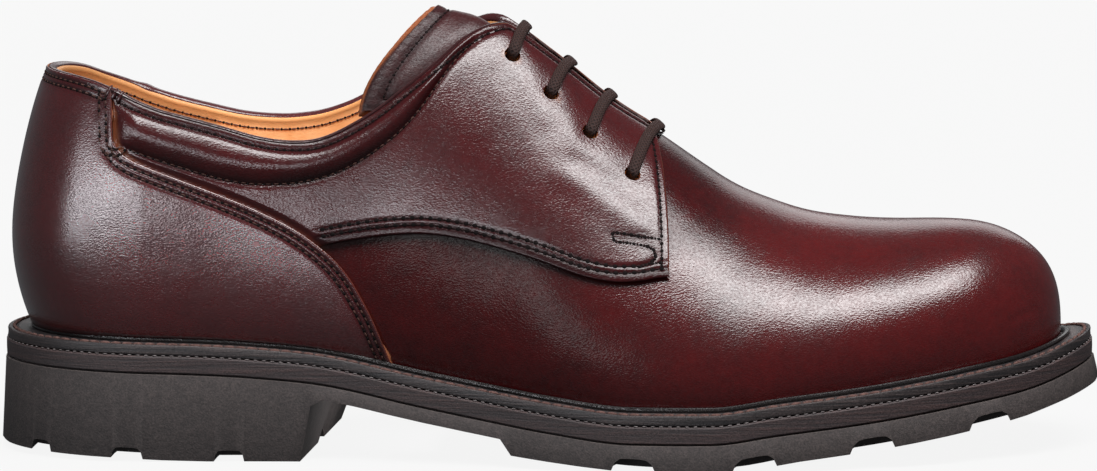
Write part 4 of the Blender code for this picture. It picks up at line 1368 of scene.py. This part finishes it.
def tube(path, wide_way, tall_way, half_wide, half_tall, shoulder=0.75, powers=(1.0, 1.0)):
    """Grid rolled round a path, whose ends shrink to a point; low powers make its section boxy."""
    bm, column, row = flat_sheet(len(path), TUBE_SIDES + 1)
    angle = 2 * np.pi * row / TUBE_SIDES
    size = np.ones(len(path))
    size[[0, -1]] = 0
    size[[1, -2]] = shoulder
    wide = np.sign(np.cos(angle)) * np.abs(np.cos(angle)) ** powers[0]
    tall = np.sign(np.sin(angle)) * np.abs(np.sin(angle)) ** powers[1]
    offset = wide_way[column] * (wide * (half_wide * size)[column])[:, None]
    offset = offset + tall_way[column] * (tall * (half_tall * size)[column])[:, None]
    lay(bm, path[column] + offset)
    return bm, column, row


def close(bm, merge=0.00002):
    """Merge the seam of a rolled grid and turn all faces outwards."""
    bmesh.ops.remove_doubles(bm, verts=bm.verts, dist=merge)
    bmesh.ops.recalc_face_normals(bm, faces=bm.faces)
    return bm


def rim_places(front):
    """Sides and sections along the topline, from the front of the outer side round to the inner one."""
    return both_sides(np.concatenate([np.arange(front, HEEL_AXIS, -RIM_STEP), heel_places(0.05, 40)]))


piping_sides, piping_s = rim_places(PIPING_FRONT)
piping_t = leather_top(piping_sides, piping_s)
path = lifted(piping_sides, piping_s, piping_t, np.full(len(piping_s), PIPING_LIFT))
wide_way = last_normal(piping_sides, piping_s, piping_t)
forward = unit(np.gradient(path, axis=0))
tall_way = unit(np.cross(wide_way, forward))
ridges = 1 + 0.5 * np.exp(-((path[:, 0] - TACK_PLACE) / 2.0) ** 2)
thin = (0.72 + 0.28 * ease(-path[:, 0], 6, 22)) * (1 - 0.2 * ease(-path[:, 0], 115, 120))
full = ridges * thin
bm, column, row = tube(path, wide_way, tall_way, PIPING_HALF_WIDE * full, PIPING_HALF_TALL * full)
piping = make_piece("topline_piping", close(bm), [piping_look])
print("piping:", count(piping), "triangles")

# %% [markdown]
# ## Stitches
# A seam is a row of short threads that dip into the leather. One small ellipsoid of forty faces is
# made once, and turned along the line for each stitch; all stitches of a row are one mesh. Dark
# waxed thread closes the quarters, brown thread the counter and the roll of the collar.

# %% Threads and stitch rows
STITCH_SEED = 7
STITCH_REACH = 0.3
TONGUE_STITCH_DEEP = 0.42
TACK_DROP = 0.8
TACK_LIFT = 1.5
LINING_SEAM_FRONT = -24.0
LINING_SEAM_DROP = 3.0


def thread_look(name, colour, fleck, rough=0.6):
    """Twisted thread with lighter flecks."""
    look, tree, shader = new_look(name)
    place = node(tree, "TexCoord").outputs["Object"]
    fuzz = noise(tree, place, 1400, 3, 0.7)
    flecked = blended(tree, ranged(tree, fuzz, 0.35, 0.65), colour, fleck)
    tree.links.new(flecked, shader.inputs["Base Color"])
    tree.links.new(bumped(tree, fuzz, 0.5, 0.0002), shader.inputs["Normal"])
    set_sockets(shader, {"Roughness": rough, "Specular IOR Level": 0.12})
    return look


dark_thread = thread_look("dark_thread", (0.012, 0.005, 0.005), (0.026, 0.010, 0.010))
brown_thread = thread_look("brown_thread", (0.036, 0.015, 0.013), (0.10, 0.050, 0.040))
# The needle holes are dots of painted shade: near-black ellipsoids on the skin.
hole_shade_look = thread_look("needle_hole_shade", (0.004, 0.0025, 0.0025), (0.010, 0.006, 0.006), 0.9)
welt_thread = thread_look("welt_thread", (0.060, 0.032, 0.029), (0.17, 0.095, 0.082), 0.85)
pale_thread = thread_look("pale_thread", (0.10, 0.085, 0.085), (0.26, 0.23, 0.23), 0.8)


def evenly(points, normals, pitch, between=False):
    """Stitch middles along a path, or the places between them, with the way along and the way out."""
    walked = walked_length(points)
    number = max(int(walked[-1] / pitch), 1)
    stops = (np.arange(number - between) + (1.0 if between else 0.5)) * walked[-1] / number

    def at(places, values):
        return np.stack([np.interp(places, walked, values[:, k]) for k in range(3)], axis=1)

    ahead = unit(at(stops + STITCH_REACH, points) - at(stops - STITCH_REACH, points))
    return at(stops, points), ahead, unit(at(stops, normals))


def stitch_rows(
    name, rows, look, pitch, long, wide, thick, tilt=0.0, wander=0.0, between=False, across=False,
):
    """One mesh of all stitches along the given rows of (points, normals)."""
    bm = bmesh.new()
    bmesh.ops.create_uvsphere(bm, u_segments=8, v_segments=5, radius=0.5)
    one = bpy.data.meshes.new("one_stitch")
    bm.to_mesh(one)
    bm.clear()
    chance = np.random.default_rng(STITCH_SEED)
    for points, normals in rows:
        for middle, ahead, out in zip(*evenly(points, normals, pitch, between)):
            aside = np.cross(out, ahead)
            if across:
                ahead, aside = aside, -ahead
            ahead = unit(ahead + aside * (tilt + wander * chance.normal()))
            aside = unit(np.cross(out, ahead))
            out = np.cross(ahead, aside)
            shake = aside * wander * chance.normal() * 0.6
            spot = placed(middle + shake)
            size = Matrix.Diagonal((long * MM, wide * MM, thick * MM, 1))
            turn = Matrix((ahead, aside, out)).transposed().to_4x4()
            move = Matrix.Translation(Vector(spot)) @ turn @ size
            one.transform(move)
            bm.from_mesh(one)
            one.transform(move.inverted())
    bpy.data.meshes.remove(one)
    bmesh.ops.recalc_face_normals(bm, faces=bm.faces)
    piece = make_piece(name, bm, [look], sharp=80, merge=0.000001)
    print(f"{name}: {count(piece)} triangles")
    return piece


def quarter_row(side, name, sunk):
    """Path of a quarter's seam on its pressed skin."""
    s, t = paced(side, *quarter_paths[side][name], 0.8)
    points = last_place(side, s, t)
    normals = last_normal(side, s, t)
    lift = quarter_form(side, points)[0] + sunk
    return points + normals * lift[:, None], normals


def counter_row(side, name, sunk):
    """Path of a counter's seam on its pressed skin."""
    s, t = paced(side, *counter_paths[side][name], 0.8)
    points = last_place(side, s, t)
    normals = last_normal(side, s, t)
    lift = counter_skin(points[:, 0]) - COUNTER_PRESS + sunk
    return points + normals * lift[:, None], normals


def seam(name, rows, look, pitch, hole, thread):
    """Dark dots of painted shade for the needle holes along rows, and a thread between each two of them."""
    stitch_rows(name + "_hole_shades", rows, hole_shade_look, pitch, hole, 0.85 * hole, 0.45)
    stitch_rows(name + "_threads", rows, look, pitch, pitch - 0.8 * hole, thread, thread, between=True)


# Each seam has its lines, its height above the pressed skin, its thread, pitch, hole and thread width.
QUARTER_SEAMS = (
    ("quarter_foot", ("foot_seam_low", "foot_seam_high"), 0.05, dark_thread, 2.45, 1.5, 0.6),
    ("quarter_front", ("front_seam", "facing_seam"), 0.05, dark_thread, 2.2, 1.2, 0.55),
    ("quarter_tab", ("tab_seam",), 0.08, dark_thread, 1.8, 1.35, 0.95),
    ("collar", ("collar_seam",), 0.08, dark_thread, 2.15, 1.2, 0.6),
    ("roll", ("roll_seam",), 0.08, brown_thread, 2.2, 0.8, 0.5),
)
for name, lines, sunk, look, pitch, hole, thread in QUARTER_SEAMS:
    rows = [quarter_row(side, line, sunk) for side in SIDES for line in lines]
    seam(name, rows, look, pitch, hole, thread)
heel_rows = [counter_row(side, line, 0.05) for side in SIDES for line in COUNTER_SEAMS]
seam("counter", heel_rows, brown_thread, pitch=2.3, hole=1.1, thread=0.6)
tongue_normals = last_normal(seam_side, seam_s, seam_t)
tongue_skin = tongue_depth(seam_s, seam_t, seam_side) - TONGUE_STITCH_DEEP
tongue_rows = [(seam_points + tongue_normals * tongue_skin[:, None], tongue_normals)]
seam("tongue", tongue_rows, dark_thread, pitch=2.2, hole=1.0, thread=0.55)


def tack_row(side):
    """Short row on the topline, where the collar meets the counter."""
    x = np.linspace(TACK_PLACE - 2.2, TACK_PLACE + 2.4, 12)
    sides = np.full_like(x, side)
    s, t = spot_at(side, x, topline(sides, x) - TACK_DROP)
    return lifted(sides, s, t, np.full_like(x, TACK_LIFT)), last_normal(sides, s, t)


stitch_rows(
    "bar_tacks", [tack_row(OUTER)], piping_look, pitch=1.5, long=4.2, wide=1.5, thick=1.7, across=True,
)


def lining_row():
    """Row along the rim of the lining, on its inner face."""
    sides, s = rim_places(LINING_SEAM_FRONT)
    points = last_place(sides, s, leather_top(sides, s))
    low = climb_to(sides, s, lambda _: points[:, 2] - LINING_SEAM_DROP)
    normals = last_normal(sides, s, low)
    return last_place(sides, s, low) - normals * UPPER_WALL, -normals


seam("lining", [lining_row()], brown_thread, pitch=2.4, hole=0.9, thread=0.5)

# %% [markdown]
# ## Lace
# A flat braided cotton lace crosses the throat in four straight bars. Each bar comes out of an
# eyelet, bends over the facing and dives into the eyelet opposite; inside, the lace climbs from
# eyelet to eyelet between facing and tongue, and both hidden ends stop at a top eyelet.

# %% Lace look
BRAID_SLANT = 52


def braid_look(name, brown, dark):
    """Braid drawn in the lace's own map, whose unit is a millimetre."""
    look, tree, shader = new_look(name)
    flat = node(tree, "UVMap", uv_map="braid").outputs["UV"]
    place = node(tree, "TexCoord").outputs["Object"]
    strands = []
    for slant in (BRAID_SLANT, -BRAID_SLANT):
        turned = node(tree, "Mapping", {"Vector": flat, "Rotation": (0, 0, math.radians(slant))}).outputs[0]
        wave = node(tree, "TexWave", {"Vector": turned, "Scale": 0.42, "Distortion": 0.4})
        strands.append(wave.outputs["Fac"])
    woven = reckoned(tree, "MAXIMUM", *strands)
    tree.links.new(blended(tree, woven, dark, brown), shader.inputs["Base Color"])
    fuzz = noise(tree, place, 2200, 2)
    height = node(tree, "Math", {0: fuzz, 1: 0.5, 2: woven}, operation="MULTIPLY_ADD").outputs[0]
    tree.links.new(bumped(tree, height, 0.7, 0.0003), shader.inputs["Normal"])
    set_sockets(shader, {"Roughness": 0.7, "Specular IOR Level": 0.25})
    return look


lace_look = braid_look("lace_braid", (0.040, 0.018, 0.015), (0.010, 0.0045, 0.0040))
print(lace_look.name, "ready")

# %% Lace through the eyelets
LACE_HALF_WIDE = 1.65
LACE_HALF_THICK = 0.6
LACE_PULL = 0.7
LACE_RIDE = PANEL_SKIN + LACE_HALF_THICK + 0.15
LACE_DIP = 0.9
LACE_SHOULDER = 1.0
LACE_END = 0.8
LACE_POWERS = (0.7, 0.9)
BAR_LEAN = (0.30, 0.44, 0.42, 0.44)
BAR_SHARES = (0.14, 0.27, 0.42, 0.62, 0.80, 0.93)
PULL_SHARE = 0.2
HIDDEN_RUNS = ((OUTER, 0, 1, 0), (INNER, 1, 2, 0), (OUTER, 2, 3, 0), (INNER, 3, 0, 4.5))
RUN_POINTS = 22
INSIDE_RIDE = -(UPPER_WALL + LACE_HALF_THICK + 0.35)


def rounded_path(knots, paces=7):
    """Smooth path through knots, by cubic pieces whose tangents run between the neighbours."""
    knots = np.asarray(knots, float)
    tangent = np.gradient(knots, axis=0)
    u = np.linspace(0, 1, paces, endpoint=False)[:, None]
    pieces = []
    for a, b, ta, tb in zip(knots, knots[1:], tangent, tangent[1:]):
        start = (1 + 2 * u) * (1 - u) ** 2 * a + u * (1 - u) ** 2 * ta
        pieces.append(start + u * u * (3 - 2 * u) * b + u * u * (u - 1) * tb)
    return np.concatenate(pieces + [knots[-1:]])


def half_bar(side, index):
    """Knots of half a bar, from inside its eyelet to the throat."""
    s0 = EYELETS["x"][index]
    centres, normals, climbs = eyelet_spots(side)
    centre = centres[index]
    out = normals[index]
    lean = BAR_LEAN[index] * (last_place(side, s0, 1.0)[2] - EYELETS["z"][index])
    climb = climbs[index]

    def spot(share):
        return side, s0 + lean * share, climb + (1 - climb) * share

    pulled = centre + unit(last_place(*spot(PULL_SHARE)) - centre) * LACE_PULL
    knots = [centre + out * INSIDE_RIDE, pulled - out * LACE_DIP, pulled + out * (LACE_RIDE - LACE_SHOULDER)]
    return knots + [last_place(*spot(share)) + last_normal(*spot(share)) * LACE_RIDE for share in BAR_SHARES]


def lace_tube(path, along_row):
    """Flat tube, as wide as the row direction says, with a braid map in millimetres."""
    forward = unit(np.gradient(path, axis=0))
    wide = unit(along_row - forward * (along_row * forward).sum(1, keepdims=True))
    tall = np.cross(forward, wide)
    bm, column, row = tube(path, wide, tall, LACE_HALF_WIDE, LACE_HALF_THICK, LACE_END, LACE_POWERS)
    walked = walked_length(path)
    round_about = 4 * (LACE_HALF_WIDE + LACE_HALF_THICK) / TUBE_SIDES
    braid = bm.loops.layers.uv.new("braid")
    spots = {corner: (walked[c], r * round_about) for corner, c, r in zip(bm.verts, column, row)}
    for face in bm.faces:
        for loop in face.loops:
            loop[braid].uv = spots[loop.vert]
    return close(bm)


def eyelet_row_way(side, index):
    """Direction of the row of eyelets at one of them."""
    centres = eyelet_spots(side)[0]
    return unit(centres[min(index + 1, 3)] - centres[max(index - 1, 0)])


def inside_run(side, first, last, aside):
    """Hidden run of the lace under the facing, from one eyelet to another, and the way out along it."""
    share = np.linspace(0, 1, RUN_POINTS)
    x = EYELETS["x"][first] + (EYELETS["x"][last] - EYELETS["x"][first]) * share
    z = np.interp(x, EYELETS["x"], EYELETS["z"]) - aside * np.sin(np.pi * share) ** 0.5
    t = climb_to(np.full_like(x, side), x, lambda _: z)
    ways = last_normal(side, x, t)
    return last_place(side, x, t) + ways * INSIDE_RIDE, ways


lace_bm = bmesh.new()


def add_lace(path, row_way):
    """Join one run to the lace and return its length."""
    mesh = mesh_from("run", lace_tube(path, row_way))
    lace_bm.from_mesh(mesh)
    bpy.data.meshes.remove(mesh)
    return walked_length(path)[-1]


lace_total = 0
for index in range(len(BAR_LEAN)):
    path = rounded_path(half_bar(OUTER, index) + half_bar(INNER, index)[::-1])
    halfway = ease(np.linspace(0, 1, len(path)), 0.35, 0.65)[:, None]
    row_way = eyelet_row_way(OUTER, index) * (1 - halfway) + eyelet_row_way(INNER, index) * halfway
    lace_total += add_lace(path, row_way)
for run in HIDDEN_RUNS:
    path, ways = inside_run(*run)
    lace_total += add_lace(path, np.cross(ways, unit(np.gradient(path, axis=0))))
lace = make_piece("braided_lace", lace_bm, [lace_look], sharp=70, merge=0.000001)
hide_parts("lace_bar_1", "lace_bar_2", "lace_bar_3", "lace_bar_4")
print(f"lace: {lace_total:.0f} mm threaded, {count(lace)} triangles")

# %% [markdown]
# ## Sole outline
# Welt, midsole and outsole follow the feather line at growing distances. Their loops come from the
# last as well: the feather line is carried outwards, a little further round heel and toe.

# %% Loops of the sole
WELT_MARGIN = 7.0
OUTSOLE_TOP_MARGIN = 7.8
OUTSOLE_FOOT_MARGIN = 9.2
WELT_INNER = -2.4
HEEL_SHELF = 2.2
TOE_SHELF = 1.2
LOOP_STEPS = 240


def sole_loop(margin):
    """Feather line carried outwards: outer side from back to tip, then the inner side back again."""
    middle = (FEATHER_TIP + FEATHER_BACK) / 2
    half = (FEATHER_TIP - FEATHER_BACK) / 2
    s = middle - half * np.cos(np.pi * np.arange(LOOP_STEPS + 1) / LOOP_STEPS)
    outer = feather_line(np.full_like(s, OUTER), s)[0]
    inner = feather_line(np.full_like(s, INNER), s)[0]
    loop = np.concatenate([outer, inner[-2:0:-1]])
    ahead = np.roll(loop, -1, axis=0) - np.roll(loop, 1, axis=0)
    normal = unit(np.stack([ahead[:, 1], -ahead[:, 0]], axis=1))
    normal[0] = (-1, 0)
    normal[LOOP_STEPS] = (1, 0)
    moved = loop + normal * margin
    share = np.clip(margin / WELT_MARGIN, 0, 1)
    heel = np.clip((HEEL_AXIS - loop[:, 0]) / (HEEL_AXIS - FEATHER_BACK), 0, 1)
    toe = np.clip((loop[:, 0] - TOE_TOP_START) / (FEATHER_TIP - TOE_TOP_START), 0, 1)
    moved[:, 0] += share * (TOE_SHELF * toe ** 2 - HEEL_SHELF * heel ** 2)
    return moved


def on_bed(loop, height):
    """Loop in plan, set at a height above the bed of the outsole."""
    return np.concatenate([loop, (bed_height(loop[:, 0]) + height)[:, None]], axis=1)


print("welt loop:", np.round(np.ptp(sole_loop(WELT_MARGIN), axis=0), 1), "mm")

# %% [markdown]
# ## Welt
# The welt is a dark leather strip, sewn to the upper and to the sole. Its section is drawn as a
# few corners of margin and height, with a groove near the outer edge for the thread, and carried
# round the loop. A glossy black bead fills the corner where the upper meets it.

# %% Welt, bead and welt stitches
WELT_FOOT = MIDSOLE_THICK + 2 * GAP
WELT_STITCH_MARGIN = 5.6
WELT_STITCH_HEIGHT = 2.7
JOINT_MARGIN = 7.05
JOINT_DROP = 0.15
WELT_SECTION = table(
    "margin height",
    (WELT_INNER, 0), (6.5, 0), (6.9, 0.15), (7.0, 0.5), (6.95, 1.4), (7.0, 2.2), (6.9, 2.55), (6.6, 2.75),
    (6.2, 2.7), (5.8, 2.4), (5.3, 2.35), (4.9, 2.6), (4.5, 2.8), (1.5, 2.8), (WELT_INNER, 2.8),
)


def hide_look(name, base, streak, rough, streak_scale):
    """Dark leather or rubber edge with fine streaks along the sole."""
    look, tree, shader = new_look(name)
    place = node(tree, "TexCoord").outputs["Object"]
    drawn = node(tree, "Mapping", {"Vector": place, "Scale": streak_scale}).outputs[0]
    lines = noise(tree, drawn, 1.0, 5, 0.65)
    speck = noise(tree, place, 1900, 2, 0.6)
    colour = blended(tree, ranged(tree, lines, 0.42, 0.72), base, streak)
    grain = ranged(tree, speck, 0.3, 0.7, 0.55, 1.5)
    spotted = node(tree, "VectorMath", {0: colour, "Scale": grain}, operation="SCALE")
    tree.links.new(spotted.outputs[0], shader.inputs["Base Color"])
    ribbed = bumped(tree, lines, 0.5, 0.0004)
    tree.links.new(bumped(tree, speck, 0.35, 0.0003, ribbed), shader.inputs["Normal"])
    set_sockets(shader, {"Roughness": rough})
    return look


welt_look = hide_look("welt_leather", (0.016, 0.013, 0.014), (0.070, 0.050, 0.048), 0.5, (50, 50, 1500))
bead_look = hide_look("bead_wax", (0.010, 0.008, 0.008), (0.020, 0.016, 0.016), 0.22, (60, 60, 60))


def stacked_loops(section, foot):
    """One loop of the sole for each corner of a section of margins and heights."""
    return np.array([on_bed(sole_loop(m), foot + h) for m, h in zip(section["margin"], section["height"])])


def ring(name, section, foot, look):
    """Section of margins and heights carried round the sole loop."""
    stack = stacked_loops(section, foot)
    bm, column, row = flat_sheet(stack.shape[1] + 1, stack.shape[0] + 1)
    lay(bm, stack[row % stack.shape[0], column % stack.shape[1]])
    return make_piece(name, close(bm), [look], sharp=35)


welt = ring("stitched_welt", WELT_SECTION, WELT_FOOT, welt_look)
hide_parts("welt")
BEAD_RADIUS = 0.8
BEAD_SIDES = 10
BEAD_MIDDLE = (1.25, 0.65)
turn = 2 * np.pi * np.arange(BEAD_SIDES) / BEAD_SIDES
bead_section = {
    "margin": BEAD_MIDDLE[0] - BEAD_RADIUS * np.cos(turn),
    "height": BEAD_MIDDLE[1] + BEAD_RADIUS * np.sin(turn),
}
bead = ring("welt_bead", bead_section, WELT_FOOT + WELT_THICK, bead_look)


def closed_row(margin, height, out):
    """Row of points round the sole, closed on itself."""
    loop = on_bed(sole_loop(margin), height)
    loop = np.concatenate([loop, loop[:1]])
    return loop, np.tile(np.asarray(out, float), (len(loop), 1))


welt_row = closed_row(WELT_STITCH_MARGIN, WELT_FOOT + WELT_STITCH_HEIGHT, UPWARD)
stitch_rows(
    "welt_stitches", [welt_row], welt_thread, pitch=3.1, long=3.2, wide=1.05, thick=1.05,
    tilt=0.12, wander=0.10,
)
joint = closed_row(JOINT_MARGIN, WELT_FOOT - JOINT_DROP, UPWARD)
stitch_rows(
    "joint_stitches", [joint], pale_thread, pitch=2.3, long=1.2, wide=0.35, thick=0.35, wander=0.05,
)
print("welt and bead:", count(welt) + count(bead), "triangles")

# %% [markdown]
# ## Midsole and outsole
# Both are rubber: a thin layer with reddish streaks, and the moulded unit with its heel block,
# waist and notched tread. Grids are rolled round the sole from one side over the foot to the
# other, and a bevel breaks the sharp edges of the tread, which are worn a little paler; that paler
# colour is partly a painted highlight along the edges.

# %% Midsole
MIDSOLE_SECTION = table("margin height", (7.0, 0), (7.4, 0.4), (7.45, 2.4), (7.4, 4.3), (7.0, 4.7))
midsole_look = hide_look("midsole_rubber", (0.027, 0.018, 0.019), (0.062, 0.032, 0.030), 0.66, (45, 45, 1400))
rubber_look = hide_look("outsole_rubber", (0.034, 0.026, 0.025), (0.050, 0.038, 0.036), 0.78, (400, 400, 400))
worn_and_highlit_look = hide_look("worn_highlit_rubber", (0.060, 0.047, 0.043), (0.11, 0.088, 0.080), 0.8, (300, 300, 300))


def rolled_layer(name, section, foot, look):
    """Closed layer: each column climbs the outer edge, crosses over and falls down the inner edge."""
    loops = stacked_loops(section, foot)
    outer = loops[:, :LOOP_STEPS + 1]
    inner = np.concatenate([loops[:, :1], loops[:, :LOOP_STEPS - 1:-1]], axis=1)
    stack = np.concatenate([outer, inner[::-1]])
    bm, column, row = flat_sheet(stack.shape[1], stack.shape[0] + 1)
    lay(bm, stack[row % stack.shape[0], column])
    return make_piece(name, close(bm), [look], sharp=35)


midsole = rolled_layer("midsole_layer", MIDSOLE_SECTION, GAP, midsole_look)
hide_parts("midsole")
print("midsole:", count(midsole), "triangles")

# %% Outsole
TREAD = table(
    "x z",
    (-155, 2.0), (-118, 1.1), (-92, 0), (-66, 0), (-10, 3.5), (3, 2.2), (14, 1.1), (26, 0.2), (32, 0),
    (50, 0), (69, 2.7), (86, 4.7), (114, 8.7), (134, 12.4), (152, 18.0),
)
NOTCHES = table(
    "x wide narrow deep",
    (-139.0, 6.0, 4.4, 3.0), (-114.0, 8.8, 6.6, 3.0), (-86.0, 8.3, 6.4, 3.0),
    (25.5, 12.0, 7.7, 3.6), (58.0, 12.0, 7.7, 3.6), (89.5, 12.0, 7.7, 3.6), (121.0, 11.0, 7.0, 3.4),
)
WAIST_THICK = 3.6
NOTCH_REACH = 7.0
NOTCH_WALL = 1.5
NOTCH_REST = 0.4
BREAST_FOOT = -66.5
BREAST_TOP = -63.5
BREAST_SKEW = table("x shift", (-78, 0), (BREAST_FOOT, 3), (BREAST_TOP, 6), (-42, 0))
STEP_TOP = -11.0
STEP_FOOT = -8.0
GROOVE_HALF = 3.5
GROOVE_SLOPE = 2.0
GROOVE_DEEP = 2.5
TREAD_BEVEL = 0.4
SHARP_FOLD = 28
HEEL_STATIONS = (-150.0, -130.0, -122.0, -104.0, -92.0, -78.0)
WAIST_STATIONS = (-60.0, -52.0, -42.0, -32.0, -21.0, STEP_TOP)
FORE_STATIONS = (STEP_FOOT, 2.0, 11.0, 18.0, 36.0, 44.0, 50.0, 70.0, 79.0, 101.0, 110.0, 131.0, 142.0)


def tread_height(x):
    """Height of the tread above the floor."""
    return along(TREAD, "z", x)


def tread_corners():
    """Corners of the underside from back to tip: place, height, rise of a notch, depth of the groove."""
    loop_x = sole_loop(OUTSOLE_FOOT_MARGIN)[:, 0]
    back = loop_x.min()
    tip = loop_x.max()
    corners = [(back, tread_height(back) + 0.5, 0, 0), (back + 1.2, tread_height(back) + 0.4, 0, 0)]
    corners += [(x, tread_height(x), 0, GROOVE_DEEP) for x in HEEL_STATIONS]
    corners.append((BREAST_FOOT, 0, 0, GROOVE_DEEP))
    corners.append((BREAST_TOP, bed_height(BREAST_TOP) - 1.6 * WAIST_THICK, 0, 0))
    corners += [(x, bed_height(x) - WAIST_THICK, 0, 0) for x in WAIST_STATIONS]
    corners += [(x, tread_height(x), 0, GROOVE_DEEP) for x in FORE_STATIONS]
    corners.append((tip, tread_height(tip), 0, 0))
    for x, wide, narrow, deep in zip(*NOTCHES.values()):
        shoulder = 0.55 * wide + 0.45 * narrow
        steps = ((wide, 0), (shoulder, 0.62 * deep), (0.92 * narrow, 0.94 * deep), (0.5 * narrow, deep))
        for reach, rise in steps:
            for place in (x - reach / 2, x + reach / 2):
                corners.append((place, tread_height(place), rise, GROOVE_DEEP))
    return np.array(sorted(tuple(float(value) for value in corner) for corner in corners))


def loop_across(margin, x):
    """Outer and inner edge of the sole at places along it."""
    loop = sole_loop(margin)
    outer = loop[:LOOP_STEPS + 1]
    inner = np.concatenate([loop[:1], loop[:LOOP_STEPS - 1:-1]])
    return np.interp(x, outer[:, 0], outer[:, 1]), np.interp(x, inner[:, 0], inner[:, 1])


corners = tread_corners()
loop_x = sole_loop(OUTSOLE_FOOT_MARGIN)[:LOOP_STEPS + 1, 0]
between = [x for x in loop_x if np.abs(corners[:, 0] - x).min() > 1.0]
stations = np.array(sorted(list(corners[:, 0]) + between))
height = np.interp(stations, corners[:, 0], corners[:, 1])
rise = np.interp(stations, corners[:, 0], corners[:, 2])
groove = np.interp(stations, corners[:, 0], corners[:, 3])
skew = np.interp(stations, BREAST_SKEW["x"], BREAST_SKEW["shift"])
foot_outer = loop_across(OUTSOLE_FOOT_MARGIN, stations)[0]
foot_inner = loop_across(OUTSOLE_FOOT_MARGIN, stations + skew)[1]
top_loop_x = sole_loop(OUTSOLE_TOP_MARGIN)[:, 0]
top_x = stations * np.where(stations > 0, top_loop_x.max() / loop_x.max(), top_loop_x.min() / loop_x.min())
top_outer, top_inner = loop_across(OUTSOLE_TOP_MARGIN, top_x)
top_z = bed_height(top_x)
spread = foot_inner - foot_outer
notch_end = np.minimum(NOTCH_REACH, 0.15 * spread)
wall_end = np.minimum(NOTCH_REACH + NOTCH_WALL, 0.18 * spread)
narrow = np.minimum(GROOVE_HALF, 0.2 * spread)
broad = np.minimum(GROOVE_HALF + GROOVE_SLOPE, 0.3 * spread)
rest = height + np.minimum(rise, NOTCH_REST)


def under_row(across, z):
    """One row of the underside, at a distance across from the outer edge."""
    slip = skew * np.where(spread > 0.1, across / np.maximum(spread, 0.1), 0)
    return np.stack([stations + slip, foot_outer + across, z], 1)


ring_points = np.array([
    under_row(0 * spread, height + rise),
    under_row(notch_end, height + rise),
    under_row(wall_end, rest),
    under_row(spread / 2 - broad, rest),
    under_row(spread / 2 - narrow, rest + groove),
    under_row(spread / 2 + narrow, rest + groove),
    under_row(spread / 2 + broad, rest),
    under_row(spread - wall_end, rest),
    under_row(spread - notch_end, height + rise),
    under_row(spread, height + rise),
    np.stack([top_x, top_inner, top_z], 1),
    np.stack([top_x, top_outer, top_z], 1),
])
RING = len(ring_points)
bm, column, row = flat_sheet(len(stations), RING + 1)
lay(bm, ring_points[row % RING, column])
close(bm, merge=0.00005)
bmesh.ops.dissolve_degenerate(bm, edges=bm.edges, dist=0.00005)
folds = [e for e in bm.edges if len(e.link_faces) == 2]
sharp_edges = [e for e in folds if e.calc_face_angle(0) > math.radians(SHARP_FOLD)]
broken = bmesh.ops.bevel(
    bm, geom=sharp_edges, offset=TREAD_BEVEL * MM, offset_type="OFFSET", affect="EDGES", segments=2,
    profile=0.5, material=-1, clamp_overlap=True,
)
# Bevel faces: worn, paler rubber, partly a painted edge highlight.
for face in broken["faces"]:
    face.material_index = 1
outsole_looks = [rubber_look, worn_and_highlit_look]
outsole = make_piece("moulded_outsole", bm, outsole_looks, sharp=32, merge=0.000005)
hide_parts("outsole")
print("outsole:", count(outsole), "triangles, worn edges:", len(broken["faces"]))

# %% [markdown]
# ## Flag
# The low strip is meant for the counter and the collar, and on the vamp it would show as a pale
# patch. A studio would hold a black flag between the two; light linking does that without a card.

# %% Keep the strip off the vamp
flagged = bpy.data.collections.new("off_the_strip")
flagged.objects.link(vamp)
flagged.collection_objects[0].light_linking.link_state = "EXCLUDE"
low_strip.light_linking.receiver_collection = flagged
print("the low strip skips", vamp.name)
